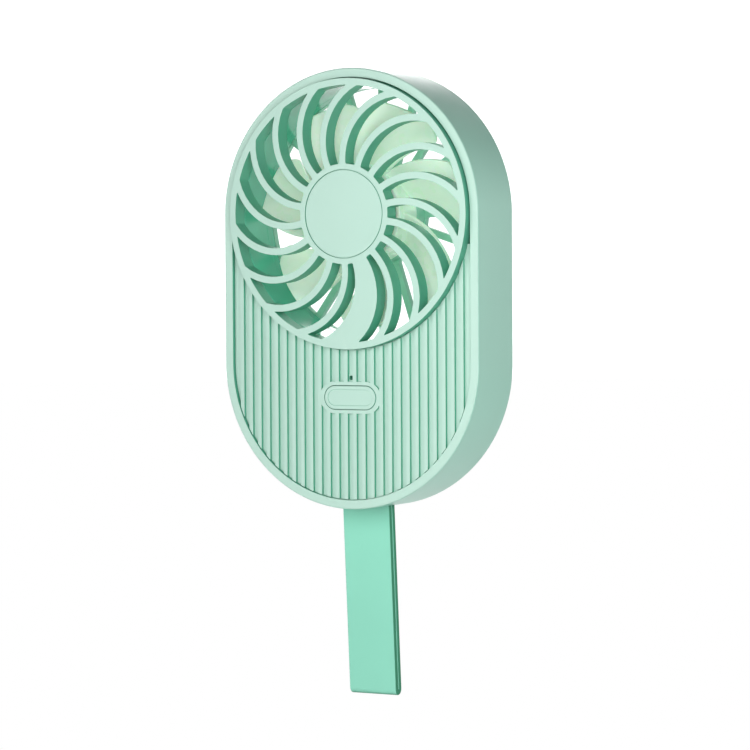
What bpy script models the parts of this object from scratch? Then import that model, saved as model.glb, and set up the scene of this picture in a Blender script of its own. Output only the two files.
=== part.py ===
"""Pocket fan with an oval body, a swirl outlet grille and a silicone wrist strap.

Frame, in metres: the fan turns about the Y axis, the front faces -Y, the flat back lies on Y = 0
and +Z is up. The origin is where the fan's axis meets the back. Depths are counted from the plane
of the front rim towards the back.
"""
import math

import bmesh
import bpy
from mathutils import Matrix, Vector

# Body
BODY_WIDTH = 0.0750
BODY_HEIGHT = 0.1137
BODY_DEPTH = 0.0194
BODY_WALL = 0.0016
RIM_WIDTH = 0.00235
EDGE_CHAMFER = 0.0003
LEDGE_WIDTH = 0.0015
LEDGE_THICKNESS = 0.0012
GAP = 0.0003  # between fixed pieces that meet
MOVING_GAP = 0.0003  # round a piece that moves

# Front panel
PANEL_RECESS = 0.00025
PANEL_THICKNESS = 0.00255
RIB_PITCH = 0.0026
GROOVE_WIDTH = 0.0014
GROOVE_DEPTH = 0.00055
HORN_WIDTH = 0.0007  # the panel's upper ends are cut off where they get narrower than this
PAD_LENGTH = 0.0180
PAD_HEIGHT = 0.0083

# Outlet grille
GRILLE_DEPTH = 0.0045
HUB_PROUD = 0.00275
RING_WIDTH = 0.00175
HUB_RADIUS = 0.0129
HUB_RING_WIDTH = 0.0013
HUB_FLOOR = 0.0012
CAP_THICKNESS = 0.00125
CAP_CROWN = 0.0002
SPOKES = 18
SPOKE_START = math.radians(18.9)  # clockwise from the top, at the hub
SPOKE_WIDTH = 0.0018
SWEEP_RADIUS = 0.0240
SWEEP_MIDDLE = math.radians(7.6)  # how far a spoke has swept at the sweep radius
SWEEP_RIM = math.radians(24.3)  # and at the ring
WIDE_SPOKE = 7
WIDE_SPOKE_ANGLE = math.radians(19.0)

# Duct and rear cover
DUCT_WALL = 0.0010
COVER_THICKNESS = 0.0020
INTAKE_BARS = 20
INTAKE_BAR_WIDTH = 0.0018
REAR_HUB_DEPTH = 0.0038  # how far the rear hub's cup stands in front of the cover

# Fan
BLADES = 7
BLADE_START = math.radians(36.3)  # clockwise from the top, at the hub
BLADE_TIP_GAP = 0.0036
BLADE_THICKNESS = 0.0010
BLADE_SPAN = math.radians(40.0)
BLADE_CORNER = math.radians(14.0)  # taken off the span at the tip to round the rear corner
CORNER_START = 0.75  # share of the blade's length where the rounding starts
BLADE_SWEEP = math.radians(27.5)
BLADE_FRONT = 0.0055
BLADE_BACK = 0.0125
FAN_HUB_FRONT = 0.0039
FAN_HUB_BACK = 0.0132
FAN_HUB_WALL = 0.0011

# Motor
YOKE_WALL = 0.0008
MAGNET_THICKNESS = 0.0013
AIR_GAP = 0.0004
STATOR_POLES = 6
STATOR_THICKNESS = 0.0032
STATOR_RING = 0.0012
POLE_NECK = 0.0011  # half of its width
POLE_SHOE = 0.0011
COIL_THICKNESS = 0.0008
TUBE_RADIUS = 0.0024
BEARING_RADIUS = 0.0017
BEARING_LENGTH = 0.0025
SHAFT_RADIUS = 0.0008
CLIP_THICKNESS = 0.0005
MOTOR_BOARD_THICKNESS = 0.0008

# Electronics
BUTTON_BELOW_GRILLE = 0.0125
BUTTON_LENGTH = 0.0151
BUTTON_HEIGHT = 0.0061
BUTTON_PROUD = 0.00015
BUTTON_TRAVEL = 0.0004
BUTTON_FLANGE = 0.0008
FLANGE_LIP = 0.0006
LAMP_ABOVE_BUTTON = 0.0051
LAMP_HOLE_RADIUS = 0.0006
LIGHT_PIPE_RADIUS = 0.0011
LAMP_SIZE = 0.0008
BOARD_DEPTH = 0.0075
BOARD_THICKNESS = 0.0010
BOARD_RIGHT = 0.0200
BOARD_BELOW_BUTTON = 0.0080
BOARD_SCREW_SPACING = 0.0320
SWITCH_SIZE = 0.0060
PLUNGER_RADIUS = 0.0015
SOCKET_WIDTH = 0.00894
SOCKET_HEIGHT = 0.00326
SOCKET_LENGTH = 0.0070
SOCKET_WALL = 0.0003
SOCKET_INSET = 0.0009
BATTERY_THICKNESS = 0.0056
BATTERY_SIDE_ROOM = 0.0129  # between the cell's side and the cavity's wall
PAD_THICKNESS = 0.0008
LEAD_RADIUS = 0.0004
LEAD_SPACING = 0.0011
LEAD_CHANNEL_DEPTH = 0.0009  # depth of the channel's floor behind the rim plane

# Fasteners
BOSS_RADIUS = 0.0030
BOSS_FRONT = 0.0090
COVER_SCREW_RADIUS = 0.0008
COVER_SCREW_HEAD = 0.0019
BOARD_SCREW_RADIUS = 0.0007
BOARD_SCREW_HEAD = 0.0014
HEAD_THICKNESS = 0.0008

# Strap
STRAP_WIDTH = 0.0138
STRAP_LAYER = 0.00145
STRAP_LAYER_GAP = 0.0003
STRAP_DROP = 0.0536  # from the pin to the fold
STRAP_TILT = math.radians(3.8)  # swung towards the back
STRAP_SWING = math.radians(12.0)  # each way from hanging straight down
PIN_RADIUS = 0.0010
PIN_ABOVE_BOTTOM = 0.00425
PIN_DEPTH = 0.0095
LUG_WIDTH = 0.0022
EYE_THROAT = 0.0038  # from the pin down to where the strap's layers close

ROUND_STEPS = 72
HIDDEN_STEPS = 36
SMALL_STEPS = 20

# Sizes that follow
BODY_RADIUS = BODY_WIDTH / 2
ARC_SPACING = BODY_HEIGHT - BODY_WIDTH
CAVITY_RADIUS = BODY_RADIUS - BODY_WALL
RIM_RADIUS = BODY_RADIUS - RIM_WIDTH
PANEL_RADIUS = RIM_RADIUS - GAP
SEAT_DEPTH = PANEL_RECESS + PANEL_THICKNESS
LEDGE_FRONT = SEAT_DEPTH + GAP
LEDGE_BACK = LEDGE_FRONT + LEDGE_THICKNESS
GRILLE_RADIUS = RIM_RADIUS - GAP
DUCT_RADIUS = GRILLE_RADIUS - RING_WIDTH
DUCT_OUTER = DUCT_RADIUS + DUCT_WALL
COVER_FRONT = BODY_DEPTH - COVER_THICKNESS
COVER_RADIUS = CAVITY_RADIUS - GAP
RING_FRONT = SEAT_DEPTH - GRILLE_DEPTH
HUB_BACK = GRILLE_DEPTH - HUB_PROUD
CAP_RADIUS = HUB_RADIUS - HUB_RING_WIDTH - GAP
FLOOR_FRONT = CAP_THICKNESS + GAP - HUB_PROUD
FLOOR_BACK = FLOOR_FRONT + HUB_FLOOR
BLADE_RADIUS = DUCT_RADIUS - BLADE_TIP_GAP
FAN_BORE = HUB_RADIUS - FAN_HUB_WALL
YOKE_RADIUS = FAN_BORE - GAP
YOKE_BACK = FAN_HUB_BACK - FAN_HUB_WALL - GAP
MAGNET_RADIUS = YOKE_RADIUS - YOKE_WALL - GAP
STATOR_RADIUS = MAGNET_RADIUS - MAGNET_THICKNESS - AIR_GAP
STATOR_FRONT = FAN_HUB_FRONT + 2 * COIL_THICKNESS
BOARD_BACK = BOARD_DEPTH + BOARD_THICKNESS
BUTTON_Z = -(GRILLE_RADIUS + BUTTON_BELOW_GRILLE)
LAMP_Z = BUTTON_Z + LAMP_ABOVE_BUTTON
BOARD_TOP = -(DUCT_OUTER + GAP + 0.0020)
BOARD_BOTTOM = BUTTON_Z - BOARD_BELOW_BUTTON
FLANGE_FRONT = SEAT_DEPTH + GAP
FLANGE_BACK = FLANGE_FRONT + BUTTON_FLANGE
SWITCH_FRONT = FLANGE_BACK + GAP + BUTTON_TRAVEL + GAP
BODY_BOTTOM = -(ARC_SPACING + BODY_RADIUS)
PIN_Z = BODY_BOTTOM + PIN_ABOVE_BOTTOM
EYE_RADIUS = PIN_RADIUS + MOVING_GAP + STRAP_LAYER / 2
LUG_START = STRAP_WIDTH / 2 + 3 * MOVING_GAP
LUG_RADIUS = PIN_RADIUS + MOVING_GAP + 0.0012
LUG_FOOT = 0.0017  # above the body's bottom, inside the wall where it curves up


def deep(depth):
    """Y of a plane this far behind the front rim plane."""
    return depth - BODY_DEPTH


def on_clock(radius, angle):
    """A point (x, z) at an angle clockwise from the top, seen from the front."""
    return radius * math.sin(angle), radius * math.cos(angle)


def circle(radius, centre=(0.0, 0.0), steps=ROUND_STEPS):
    turns = [2 * math.pi * i / steps for i in range(steps)]
    return [(centre[0] + radius * math.cos(a), centre[1] + radius * math.sin(a)) for a in turns]


def oval(radius):
    """The body's outline at this radius: two half circles joined by straight sides."""
    half = ROUND_STEPS // 2
    turns = [math.pi * i / half for i in range(half + 1)]
    upper = [(radius * math.cos(a), radius * math.sin(a)) for a in turns]
    return upper + [(-x, -z - ARC_SPACING) for x, z in upper]


def pill(length, height, centre=(0.0, 0.0)):
    """A slot outline with round ends, long in x."""
    radius, reach = height / 2, (length - height) / 2
    half = SMALL_STEPS // 2
    turns = [math.pi * (i / half - 0.5) for i in range(half + 1)]
    right = [(reach + radius * math.cos(a), radius * math.sin(a)) for a in turns]
    points = right + [(-x, -z) for x, z in right]
    return [(centre[0] + x, centre[1] + z) for x, z in points]


def rectangle(left, right, bottom, top):
    return [(left, bottom), (right, bottom), (right, top), (left, top)]


def finished(bm):
    bmesh.ops.remove_doubles(bm, verts=bm.verts, dist=1e-7)
    bmesh.ops.recalc_face_normals(bm, faces=bm.faces)
    return bm


def prism(outline, front, back):
    """A solid with this (x, z) outline between two depths."""
    bm = bmesh.new()
    face = bm.faces.new([bm.verts.new((x, deep(front), z)) for x, z in outline])
    grown = bmesh.ops.extrude_face_region(bm, geom=[face])["geom"]
    moved = [item for item in grown if isinstance(item, bmesh.types.BMVert)]
    bmesh.ops.translate(bm, vec=(0, back - front, 0), verts=moved)
    return finished(bm)


def swept(loops):
    """A closed solid through equal loops of points, each joined to the next and the last to the first."""
    bm = bmesh.new()
    rings = [[bm.verts.new(point) for point in loop] for loop in loops]
    for ring, following in zip(rings, rings[1:] + rings[:1]):
        for i, corner in enumerate(ring):
            bm.faces.new((corner, ring[i - 1], following[i - 1], following[i]))
    return finished(bm)


def turned(profile, centre=(0.0, 0.0), steps=ROUND_STEPS):
    """A closed profile of (radius, depth) points turned about a line along Y."""
    bm = bmesh.new()
    verts = [bm.verts.new((centre[0] + radius, deep(depth), centre[1])) for radius, depth in profile]
    pairs = list(zip(verts, verts[1:]))
    if profile[0][0] > 0 or profile[-1][0] > 0:
        pairs.append((verts[-1], verts[0]))
    edges = [bm.edges.new(pair) for pair in pairs]
    bmesh.ops.spin(bm, geom=verts + edges, cent=(centre[0], 0, centre[1]), axis=(0, 1, 0),
                   angle=2 * math.pi, steps=steps, use_merge=True)
    return finished(bm)


def disc(radius, front, back, centre=(0.0, 0.0), steps=SMALL_STEPS):
    return prism(circle(radius, centre, steps), front, back)


def tube(outer, inner, front, back, centre=(0.0, 0.0), steps=ROUND_STEPS):
    return turned([(outer, front), (outer, back), (inner, back), (inner, front)], centre, steps)


def block(low, high):
    """A box between two corners given as (x, depth, z)."""
    return prism(rectangle(low[0], high[0], low[2], high[2]), low[1], high[1])


def gathered(pieces):
    """Several separate solids in one mesh, for a cutter."""
    bm = bmesh.new()
    for piece in pieces:
        mesh = bpy.data.meshes.new("gathered")
        piece.to_mesh(mesh)
        piece.free()
        bm.from_mesh(mesh)
        bpy.data.meshes.remove(mesh)
    return bm


def material(name, colour, roughness, metallic=0.0):
    made = bpy.data.materials.new(name)
    made.use_nodes = True
    shader = made.node_tree.nodes["Principled BSDF"]
    shader.inputs["Base Color"].default_value = (*colour, 1.0)
    shader.inputs["Roughness"].default_value = roughness
    shader.inputs["Metallic"].default_value = metallic
    made.diffuse_color = (*colour, 1.0)
    return made


def add(name, bm, surface, at=(0.0, 0.0, 0.0), parent=None):
    """Makes one named object of a mesh that was built round the point `at`."""
    mesh = bpy.data.meshes.new(name)
    bm.to_mesh(mesh)
    bm.free()
    mesh.materials.append(surface)
    mesh.shade_smooth()
    mesh.set_sharp_from_angle(angle=math.radians(30))
    made = bpy.data.objects.new(name, mesh)
    made.location = at
    made.parent = parent
    bpy.context.collection.objects.link(made)
    return made


def shape(target, operation, bm):
    """Cuts a mesh out of an object, or joins it on, with a hidden helper object."""
    helper = add(f"{target.name}_{operation.lower()}_{len(target.modifiers)}", bm, target.active_material)
    helper.hide_render = True
    helper.display_type = "WIRE"
    modifier = target.modifiers.new(operation.title(), "BOOLEAN")
    modifier.operation = operation
    modifier.solver = "EXACT"
    modifier.object = helper


def pivot(name, at):
    """An empty on a joint's axis."""
    made = bpy.data.objects.new(name, None)
    made.location = at
    made.empty_display_size = 0.005
    bpy.context.collection.objects.link(made)
    return made


def boss_places():
    """Centres (x, z) of the four cover bosses, against the cavity's wall."""
    reach = CAVITY_RADIUS - BOSS_RADIUS + GAP
    upper_z = -(GRILLE_RADIUS - 0.0095)
    low_angle = math.radians(30)
    low = (reach * math.cos(low_angle), -ARC_SPACING - reach * math.sin(low_angle))
    return [(reach, upper_z), (-reach, upper_z), low, (-low[0], low[1])]


def housing(surface):
    profile = [
        (RIM_RADIUS, 0), (BODY_RADIUS - EDGE_CHAMFER, 0), (BODY_RADIUS, EDGE_CHAMFER),
        (BODY_RADIUS, BODY_DEPTH - EDGE_CHAMFER), (BODY_RADIUS - EDGE_CHAMFER, BODY_DEPTH),
        (CAVITY_RADIUS, BODY_DEPTH), (CAVITY_RADIUS, LEDGE_BACK),
        (CAVITY_RADIUS - LEDGE_WIDTH, LEDGE_BACK), (CAVITY_RADIUS - LEDGE_WIDTH, LEDGE_FRONT),
        (RIM_RADIUS, LEDGE_FRONT),
    ]
    loops = [[(x, deep(depth), z) for x, z in oval(radius)] for radius, depth in profile]
    band = add("housing", swept(loops), surface)
    boss_back = COVER_FRONT - GAP
    shape(band, "UNION", gathered(disc(BOSS_RADIUS, BOSS_FRONT, boss_back, place) for place in boss_places()))
    bore = COVER_SCREW_RADIUS + GAP
    shape(band, "DIFFERENCE", gathered(
        disc(bore, BOSS_FRONT + 0.0020, BODY_DEPTH, place, SMALL_STEPS // 2) for place in boss_places()))
    lug_front, lug_back = PIN_DEPTH - LUG_RADIUS, PIN_DEPTH + LUG_RADIUS
    lug_low = BODY_BOTTOM + LUG_FOOT
    shape(band, "UNION", gathered(
        block((min(x, x + w), lug_front, lug_low), (max(x, x + w), lug_back, PIN_Z + LUG_RADIUS))
        for x, w in ((LUG_START, LUG_WIDTH), (-LUG_START, -LUG_WIDTH))))
    shape(band, "DIFFERENCE", gathered([pin_solid(PIN_RADIUS + GAP, LUG_START + 2 * LUG_WIDTH)]))
    slot_x = STRAP_WIDTH / 2 + 2 * MOVING_GAP
    reach = strap_half_thickness(PIN_ABOVE_BOTTOM) + PIN_ABOVE_BOTTOM * math.tan(STRAP_SWING) + MOVING_GAP
    shape(band, "DIFFERENCE", block((-slot_x, PIN_DEPTH - reach, BODY_BOTTOM - BODY_WALL),
                                    (slot_x, PIN_DEPTH + reach, PIN_Z)))
    port = [(-BODY_RADIUS - BODY_WALL, y, z) for y, z in socket_outline(GAP)]
    inner = [(-CAVITY_RADIUS + BODY_WALL, y, z) for y, z in socket_outline(GAP)]
    shape(band, "DIFFERENCE", capped(port, inner))
    return band


def socket_outline(growth):
    """Outline (y, z) of the charging socket's shell, standing on the back of the board."""
    depth = BOARD_BACK + GAP + SOCKET_HEIGHT / 2
    points = pill(SOCKET_WIDTH + 2 * growth, SOCKET_HEIGHT + 2 * growth)
    return [(deep(depth) + z, -ARC_SPACING + x) for x, z in points]


def capped(first, second):
    """A solid between two equal loops of points, closed by a face at each."""
    bm = bmesh.new()
    rings = [[bm.verts.new(point) for point in loop] for loop in (first, second)]
    for ring in rings:
        bm.faces.new(ring)
    for i, corner in enumerate(rings[0]):
        bm.faces.new((corner, rings[0][i - 1], rings[1][i - 1], rings[1][i]))
    return finished(bm)


def front_panel(surface):
    panel = add("front_panel", prism(oval(PANEL_RADIUS), PANEL_RECESS, SEAT_DEPTH), surface)
    hole = GRILLE_RADIUS + GAP
    shape(panel, "DIFFERENCE", disc(hole, 2 * RING_FRONT, 2 * SEAT_DEPTH, steps=ROUND_STEPS))
    horn_x = PANEL_RADIUS - HORN_WIDTH
    horn_z = -math.sqrt(hole ** 2 - horn_x ** 2)
    shape(panel, "DIFFERENCE", block((-BODY_RADIUS, RING_FRONT, horn_z), (BODY_RADIUS, LEDGE_BACK, BODY_RADIUS)))
    places = [(side * BOARD_SCREW_SPACING / 2, BOARD_BOTTOM + BOSS_RADIUS) for side in (-1, 1)]
    shape(panel, "UNION", gathered(
        disc(BOARD_SCREW_HEAD + 2 * GAP, SEAT_DEPTH - GROOVE_DEPTH, BOARD_DEPTH - GAP, p, 16) for p in places))
    shape(panel, "DIFFERENCE", gathered(
        disc(BOARD_SCREW_RADIUS + GAP, SEAT_DEPTH, BOARD_BACK, p, SMALL_STEPS // 2) for p in places))
    button_hole = pill(BUTTON_LENGTH + 2 * MOVING_GAP, BUTTON_HEIGHT + 2 * MOVING_GAP, (0, BUTTON_Z))
    holes = [prism(button_hole, 0, LEDGE_BACK), disc(LAMP_HOLE_RADIUS, 0, LEDGE_BACK, (0, LAMP_Z), 12)]
    shape(panel, "DIFFERENCE", gathered(holes))
    shape(panel, "DIFFERENCE", gathered(grooves()))
    return panel


def grooves():
    """The upright grooves between the ribs, which stop at the pad round the button."""
    cuts = []
    pad_radius = PAD_HEIGHT / 2
    floor = PANEL_RECESS + GROOVE_DEPTH
    count = int(PANEL_RADIUS / RIB_PITCH)
    low = BODY_BOTTOM - BODY_WALL
    for i in range(-count, count + 1):
        left, right = i * RIB_PITCH - GROOVE_WIDTH / 2, i * RIB_PITCH + GROOVE_WIDTH / 2
        if i == -count:
            left = -BODY_RADIUS
        if i == count:
            right = BODY_RADIUS
        ends = [max(0.0, abs(x) - (PAD_LENGTH / 2 - pad_radius)) for x in (left, right)]
        if min(ends) >= pad_radius:
            cuts.append(block((left, RING_FRONT, low), (right, floor, 0)))
            continue
        halves = [math.sqrt(max(0.0, pad_radius ** 2 - end ** 2)) for end in ends]
        for side, far in ((-1, low), (1, 0.0)):
            corners = [(left, far), (right, far), (right, BUTTON_Z + side * halves[1]), (left, BUTTON_Z + side * halves[0])]
            cuts.append(prism(corners, RING_FRONT, floor))
    return cuts


class Sweep:
    """The arc that a spoke's middle follows, leaving the hub nearly straight out."""

    def __init__(self):
        ends = [on_clock(HUB_RADIUS, 0), on_clock(SWEEP_RADIUS, SWEEP_MIDDLE), on_clock(DUCT_RADIUS, SWEEP_RIM)]
        (ax, az), (bx, bz), (cx, cz) = ends
        area = 2 * (ax * (bz - cz) + bx * (cz - az) + cx * (az - bz))
        a, b, c = (x * x + z * z for x, z in ends)
        x = (a * (bz - cz) + b * (cz - az) + c * (az - bz)) / area
        z = (a * (cx - bx) + b * (ax - cx) + c * (bx - ax)) / area
        self.distance = math.hypot(x, z)
        self.angle = math.atan2(x, z)
        self.radius = math.hypot(ax - x, az - z)

    def at(self, radius, aside=0.0):
        """Angle of the arc at a radius, for an arc moved aside by a distance, clockwise positive."""
        arc = self.radius - aside
        share = (radius ** 2 + self.distance ** 2 - arc ** 2) / (2 * radius * self.distance)
        return self.angle - math.acos(max(-1.0, min(1.0, share)))


SWEEP = Sweep()


def spoke_side(spoke, side, radius):
    """Angle of one side of a spoke at a radius. Side is -1 or 1, clockwise positive."""
    base = SPOKE_START + 2 * math.pi * spoke / SPOKES
    if spoke % SPOKES == WIDE_SPOKE:
        return base + SWEEP.at(radius) + side * WIDE_SPOKE_ANGLE / 2
    return base + SWEEP.at(radius, side * SPOKE_WIDTH / 2)


def spread(first, last, steps):
    return [first + (last - first) * i / steps for i in range(steps + 1)]


def grille_slot(spoke):
    """The opening between a spoke and the next one."""
    radii = spread(HUB_RADIUS, DUCT_RADIUS, 7)
    points = [on_clock(r, spoke_side(spoke, 1, r)) for r in radii]
    rim = spread(spoke_side(spoke, 1, DUCT_RADIUS), spoke_side(spoke + 1, -1, DUCT_RADIUS), 3)
    points += [on_clock(DUCT_RADIUS, a) for a in rim[1:-1]]
    points += [on_clock(r, spoke_side(spoke + 1, -1, r)) for r in reversed(radii)]
    middle = (spoke_side(spoke, 1, HUB_RADIUS) + spoke_side(spoke + 1, -1, HUB_RADIUS)) / 2
    points.append(on_clock(HUB_RADIUS, middle))
    return prism(points, -2 * HUB_PROUD, 2 * SEAT_DEPTH)


def front_grille(surface):
    recess = CAP_RADIUS + GAP
    flat_hub, flat_ring = HUB_RADIUS - 0.0004, DUCT_RADIUS + 0.0004
    profile = [
        (0, FLOOR_FRONT), (recess, FLOOR_FRONT), (recess, -HUB_PROUD), (flat_hub, -HUB_PROUD),
        (flat_ring, RING_FRONT), (GRILLE_RADIUS, RING_FRONT), (GRILLE_RADIUS, SEAT_DEPTH),
        (flat_ring, SEAT_DEPTH), (flat_hub, HUB_BACK), (recess, HUB_BACK), (recess, FLOOR_BACK), (0, FLOOR_BACK),
    ]
    grille = add("front_grille", turned(profile), surface)
    shape(grille, "DIFFERENCE", gathered(grille_slot(k) for k in range(SPOKES)))
    middle = SPOKE_START + 2 * math.pi * WIDE_SPOKE / SPOKES
    radii = spread(CAP_RADIUS - 0.0010, GRILLE_RADIUS + 0.0005, 8)
    half = LEAD_SPACING + LEAD_RADIUS
    left = [on_clock(r, middle + lead_sweep(r) - half / r) for r in radii]
    right = [on_clock(r, middle + lead_sweep(r) + half / r) for r in radii]
    shape(grille, "DIFFERENCE", prism(left + right[::-1], LEAD_CHANNEL_DEPTH, 2 * SEAT_DEPTH))
    return grille


def lead_sweep(radius):
    """How far the leads have swept at a radius. Inside the hub and past the ring they run straight out."""
    return SWEEP.at(max(HUB_RADIUS, min(radius, DUCT_RADIUS)))


def duct_ring(surface):
    duct = add("duct_ring", tube(DUCT_OUTER, DUCT_RADIUS, LEDGE_FRONT, COVER_FRONT - GAP), surface)
    middle = SPOKE_START + 2 * math.pi * WIDE_SPOKE / SPOKES + lead_sweep(DUCT_OUTER)
    x = DUCT_OUTER * math.sin(middle)
    half = LEAD_SPACING + LEAD_RADIUS + 2 * GAP
    shape(duct, "DIFFERENCE", block((x - half, 0, -DUCT_OUTER - 0.001), (x + half, 0.0058, -DUCT_RADIUS + 0.003)))
    return duct


def rear_cover(surface):
    cover = add("rear_cover", prism(oval(COVER_RADIUS), COVER_FRONT, BODY_DEPTH), surface)
    inner = HUB_RADIUS + GAP
    slots = []
    for i in range(INTAKE_BARS):
        first, last = 2 * math.pi * i / INTAKE_BARS, 2 * math.pi * (i + 1) / INTAKE_BARS
        points = []
        for radius, ends in ((inner, (first, last)), (DUCT_RADIUS, (last, first))):
            aside = math.asin(INTAKE_BAR_WIDTH / 2 / radius)
            a, b = (ends[0] + aside, ends[1] - aside) if ends[0] < ends[1] else (ends[0] - aside, ends[1] + aside)
            points += [(radius * math.cos(t), radius * math.sin(t)) for t in spread(a, b, 2)]
        slots.append(prism(points, COVER_FRONT - 0.001, BODY_DEPTH + 0.001))
    shape(cover, "DIFFERENCE", gathered(slots))
    cup_front = COVER_FRONT - REAR_HUB_DEPTH
    shape(cover, "UNION", tube(HUB_RADIUS, HUB_RADIUS - FAN_HUB_WALL, cup_front, COVER_FRONT + 0.0008))
    through = COVER_SCREW_RADIUS + GAP
    seat = COVER_FRONT + COVER_THICKNESS - HEAD_THICKNESS - 2 * GAP
    shape(cover, "DIFFERENCE", gathered(turned(
        [(0, COVER_FRONT - 0.001), (through, COVER_FRONT - 0.001), (through, seat), (COVER_SCREW_HEAD + GAP, seat),
         (COVER_SCREW_HEAD + GAP, BODY_DEPTH + 0.001), (0, BODY_DEPTH + 0.001)],
        place, SMALL_STEPS // 2) for place in boss_places()))
    return cover


def blade(index):
    """One blade: a twisted sheet that sweeps clockwise from the hub to its tip."""
    start = BLADE_START + 2 * math.pi * index / BLADES
    root = HUB_RADIUS - FAN_HUB_WALL / 2
    rows = []
    steps = 6
    for i in range(steps + 1):
        share = i / steps
        radius = root + (BLADE_RADIUS - root) * share
        first = start + BLADE_SWEEP * share
        rounding = max(0.0, (share - CORNER_START) / (1 - CORNER_START))
        span = BLADE_SPAN - BLADE_CORNER * rounding ** 2
        row = []
        for j in range(steps + 1):
            chord = j / steps
            x, z = on_clock(radius, first + span * chord)
            depth = BLADE_FRONT + (BLADE_BACK - BLADE_FRONT) * chord * span / BLADE_SPAN
            row.append(Vector((x, deep(depth), z)))
        rows.append(row)
    half = Vector((0, BLADE_THICKNESS / 2, 0))
    bm = bmesh.new()
    front = [[bm.verts.new(point - half) for point in row] for row in rows]
    back = [[bm.verts.new(point + half) for point in row] for row in rows]
    for sheet in (front, back):
        for near, far in zip(sheet, sheet[1:]):
            for j in range(steps):
                bm.faces.new((near[j], near[j + 1], far[j + 1], far[j]))
    edge = [(0, j) for j in range(steps)] + [(i, steps) for i in range(steps)]
    edge += [(steps, j) for j in range(steps, 0, -1)] + [(i, 0) for i in range(steps, 0, -1)]
    for (i, j), (k, l) in zip(edge, edge[1:] + edge[:1]):
        bm.faces.new((front[i][j], front[k][l], back[k][l], back[i][j]))
    return finished(bm)


def fan_rotor(surface, axis):
    profile = [
        (0, FAN_HUB_BACK), (HUB_RADIUS, FAN_HUB_BACK), (HUB_RADIUS, FAN_HUB_FRONT), (FAN_BORE, FAN_HUB_FRONT),
        (FAN_BORE, FAN_HUB_BACK - FAN_HUB_WALL), (0, FAN_HUB_BACK - FAN_HUB_WALL),
    ]
    fan = add("fan_rotor", turned(profile), surface, parent=axis)
    shape(fan, "UNION", gathered(blade(i) for i in range(BLADES)))
    return fan


def motor(surfaces, axis):
    """The motor: what stands still hangs on the hub floor, what turns sits in the fan's hub."""
    board = MOTOR_BOARD_THICKNESS
    add("motor_board", tube(CAP_RADIUS, TUBE_RADIUS + GAP, FLOOR_BACK + GAP, FLOOR_BACK + GAP + board,
                            steps=HIDDEN_STEPS), surfaces["board"])
    tube_front, tube_back = FLOOR_BACK + GAP, YOKE_BACK - YOKE_WALL - 2 * GAP
    add("bearing_tube", tube(TUBE_RADIUS, BEARING_RADIUS + GAP, tube_front, tube_back, steps=SMALL_STEPS),
        surfaces["brass"])
    bore = SHAFT_RADIUS + MOVING_GAP
    clip_room = 0.0012
    front_end = tube_front + clip_room
    add("front_bearing", tube(BEARING_RADIUS, bore, front_end, front_end + BEARING_LENGTH, steps=SMALL_STEPS),
        surfaces["bronze"])
    add("rear_bearing", tube(BEARING_RADIUS, bore, tube_back - BEARING_LENGTH, tube_back, steps=SMALL_STEPS),
        surfaces["bronze"])
    stator_core(surfaces["steel"])
    stator_coils(surfaces["copper"])
    profile = [
        (0, YOKE_BACK), (YOKE_RADIUS, YOKE_BACK), (YOKE_RADIUS, FAN_HUB_FRONT), (YOKE_RADIUS - YOKE_WALL, FAN_HUB_FRONT),
        (YOKE_RADIUS - YOKE_WALL, YOKE_BACK - YOKE_WALL), (0, YOKE_BACK - YOKE_WALL),
    ]
    add("rotor_yoke", turned(profile, steps=HIDDEN_STEPS), surfaces["steel"], parent=axis)
    add("rotor_magnet", tube(MAGNET_RADIUS, MAGNET_RADIUS - MAGNET_THICKNESS, FAN_HUB_FRONT + GAP,
                             YOKE_BACK - YOKE_WALL - GAP, steps=HIDDEN_STEPS), surfaces["magnet"], parent=axis)
    shaft_back = YOKE_BACK - YOKE_WALL - GAP
    clip_front = tube_front + (clip_room - CLIP_THICKNESS) / 2
    add("motor_shaft", disc(SHAFT_RADIUS, tube_front, shaft_back, steps=SMALL_STEPS), surfaces["steel"], parent=axis)
    add("shaft_clip", tube(BEARING_RADIUS - MOVING_GAP, SHAFT_RADIUS + GAP, clip_front, clip_front + CLIP_THICKNESS,
                           steps=SMALL_STEPS), surfaces["steel"], parent=axis)


def stator_core(surface):
    """A steel star: a ring on the tube, necks for the coils and wide pole shoes."""
    inner, shoe = TUBE_RADIUS + GAP, STATOR_RADIUS - POLE_SHOE
    ring = inner + STATOR_RING
    pole = math.pi / STATOR_POLES
    neck = POLE_NECK
    back = STATOR_FRONT + STATOR_THICKNESS
    outline = []
    for i in range(STATOR_POLES):
        middle = 2 * i * pole
        for radius, aside in ((ring, -neck / ring), (shoe, -neck / shoe), (shoe, -0.78 * pole), (STATOR_RADIUS, -0.82 * pole)):
            outline.append(on_clock(radius, middle + aside))
        outline.append(on_clock(STATOR_RADIUS, middle - 0.4 * pole))
        outline.append(on_clock(STATOR_RADIUS, middle))
        outline.append(on_clock(STATOR_RADIUS, middle + 0.4 * pole))
        for radius, aside in ((STATOR_RADIUS, 0.82 * pole), (shoe, 0.78 * pole), (shoe, neck / shoe), (ring, neck / ring)):
            outline.append(on_clock(radius, middle + aside))
        outline.append(on_clock(ring, middle + pole))
    core = add("stator_core", prism(outline, STATOR_FRONT, back), surface)
    shape(core, "DIFFERENCE", disc(inner, STATOR_FRONT - 0.001, back + 0.001))


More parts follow.
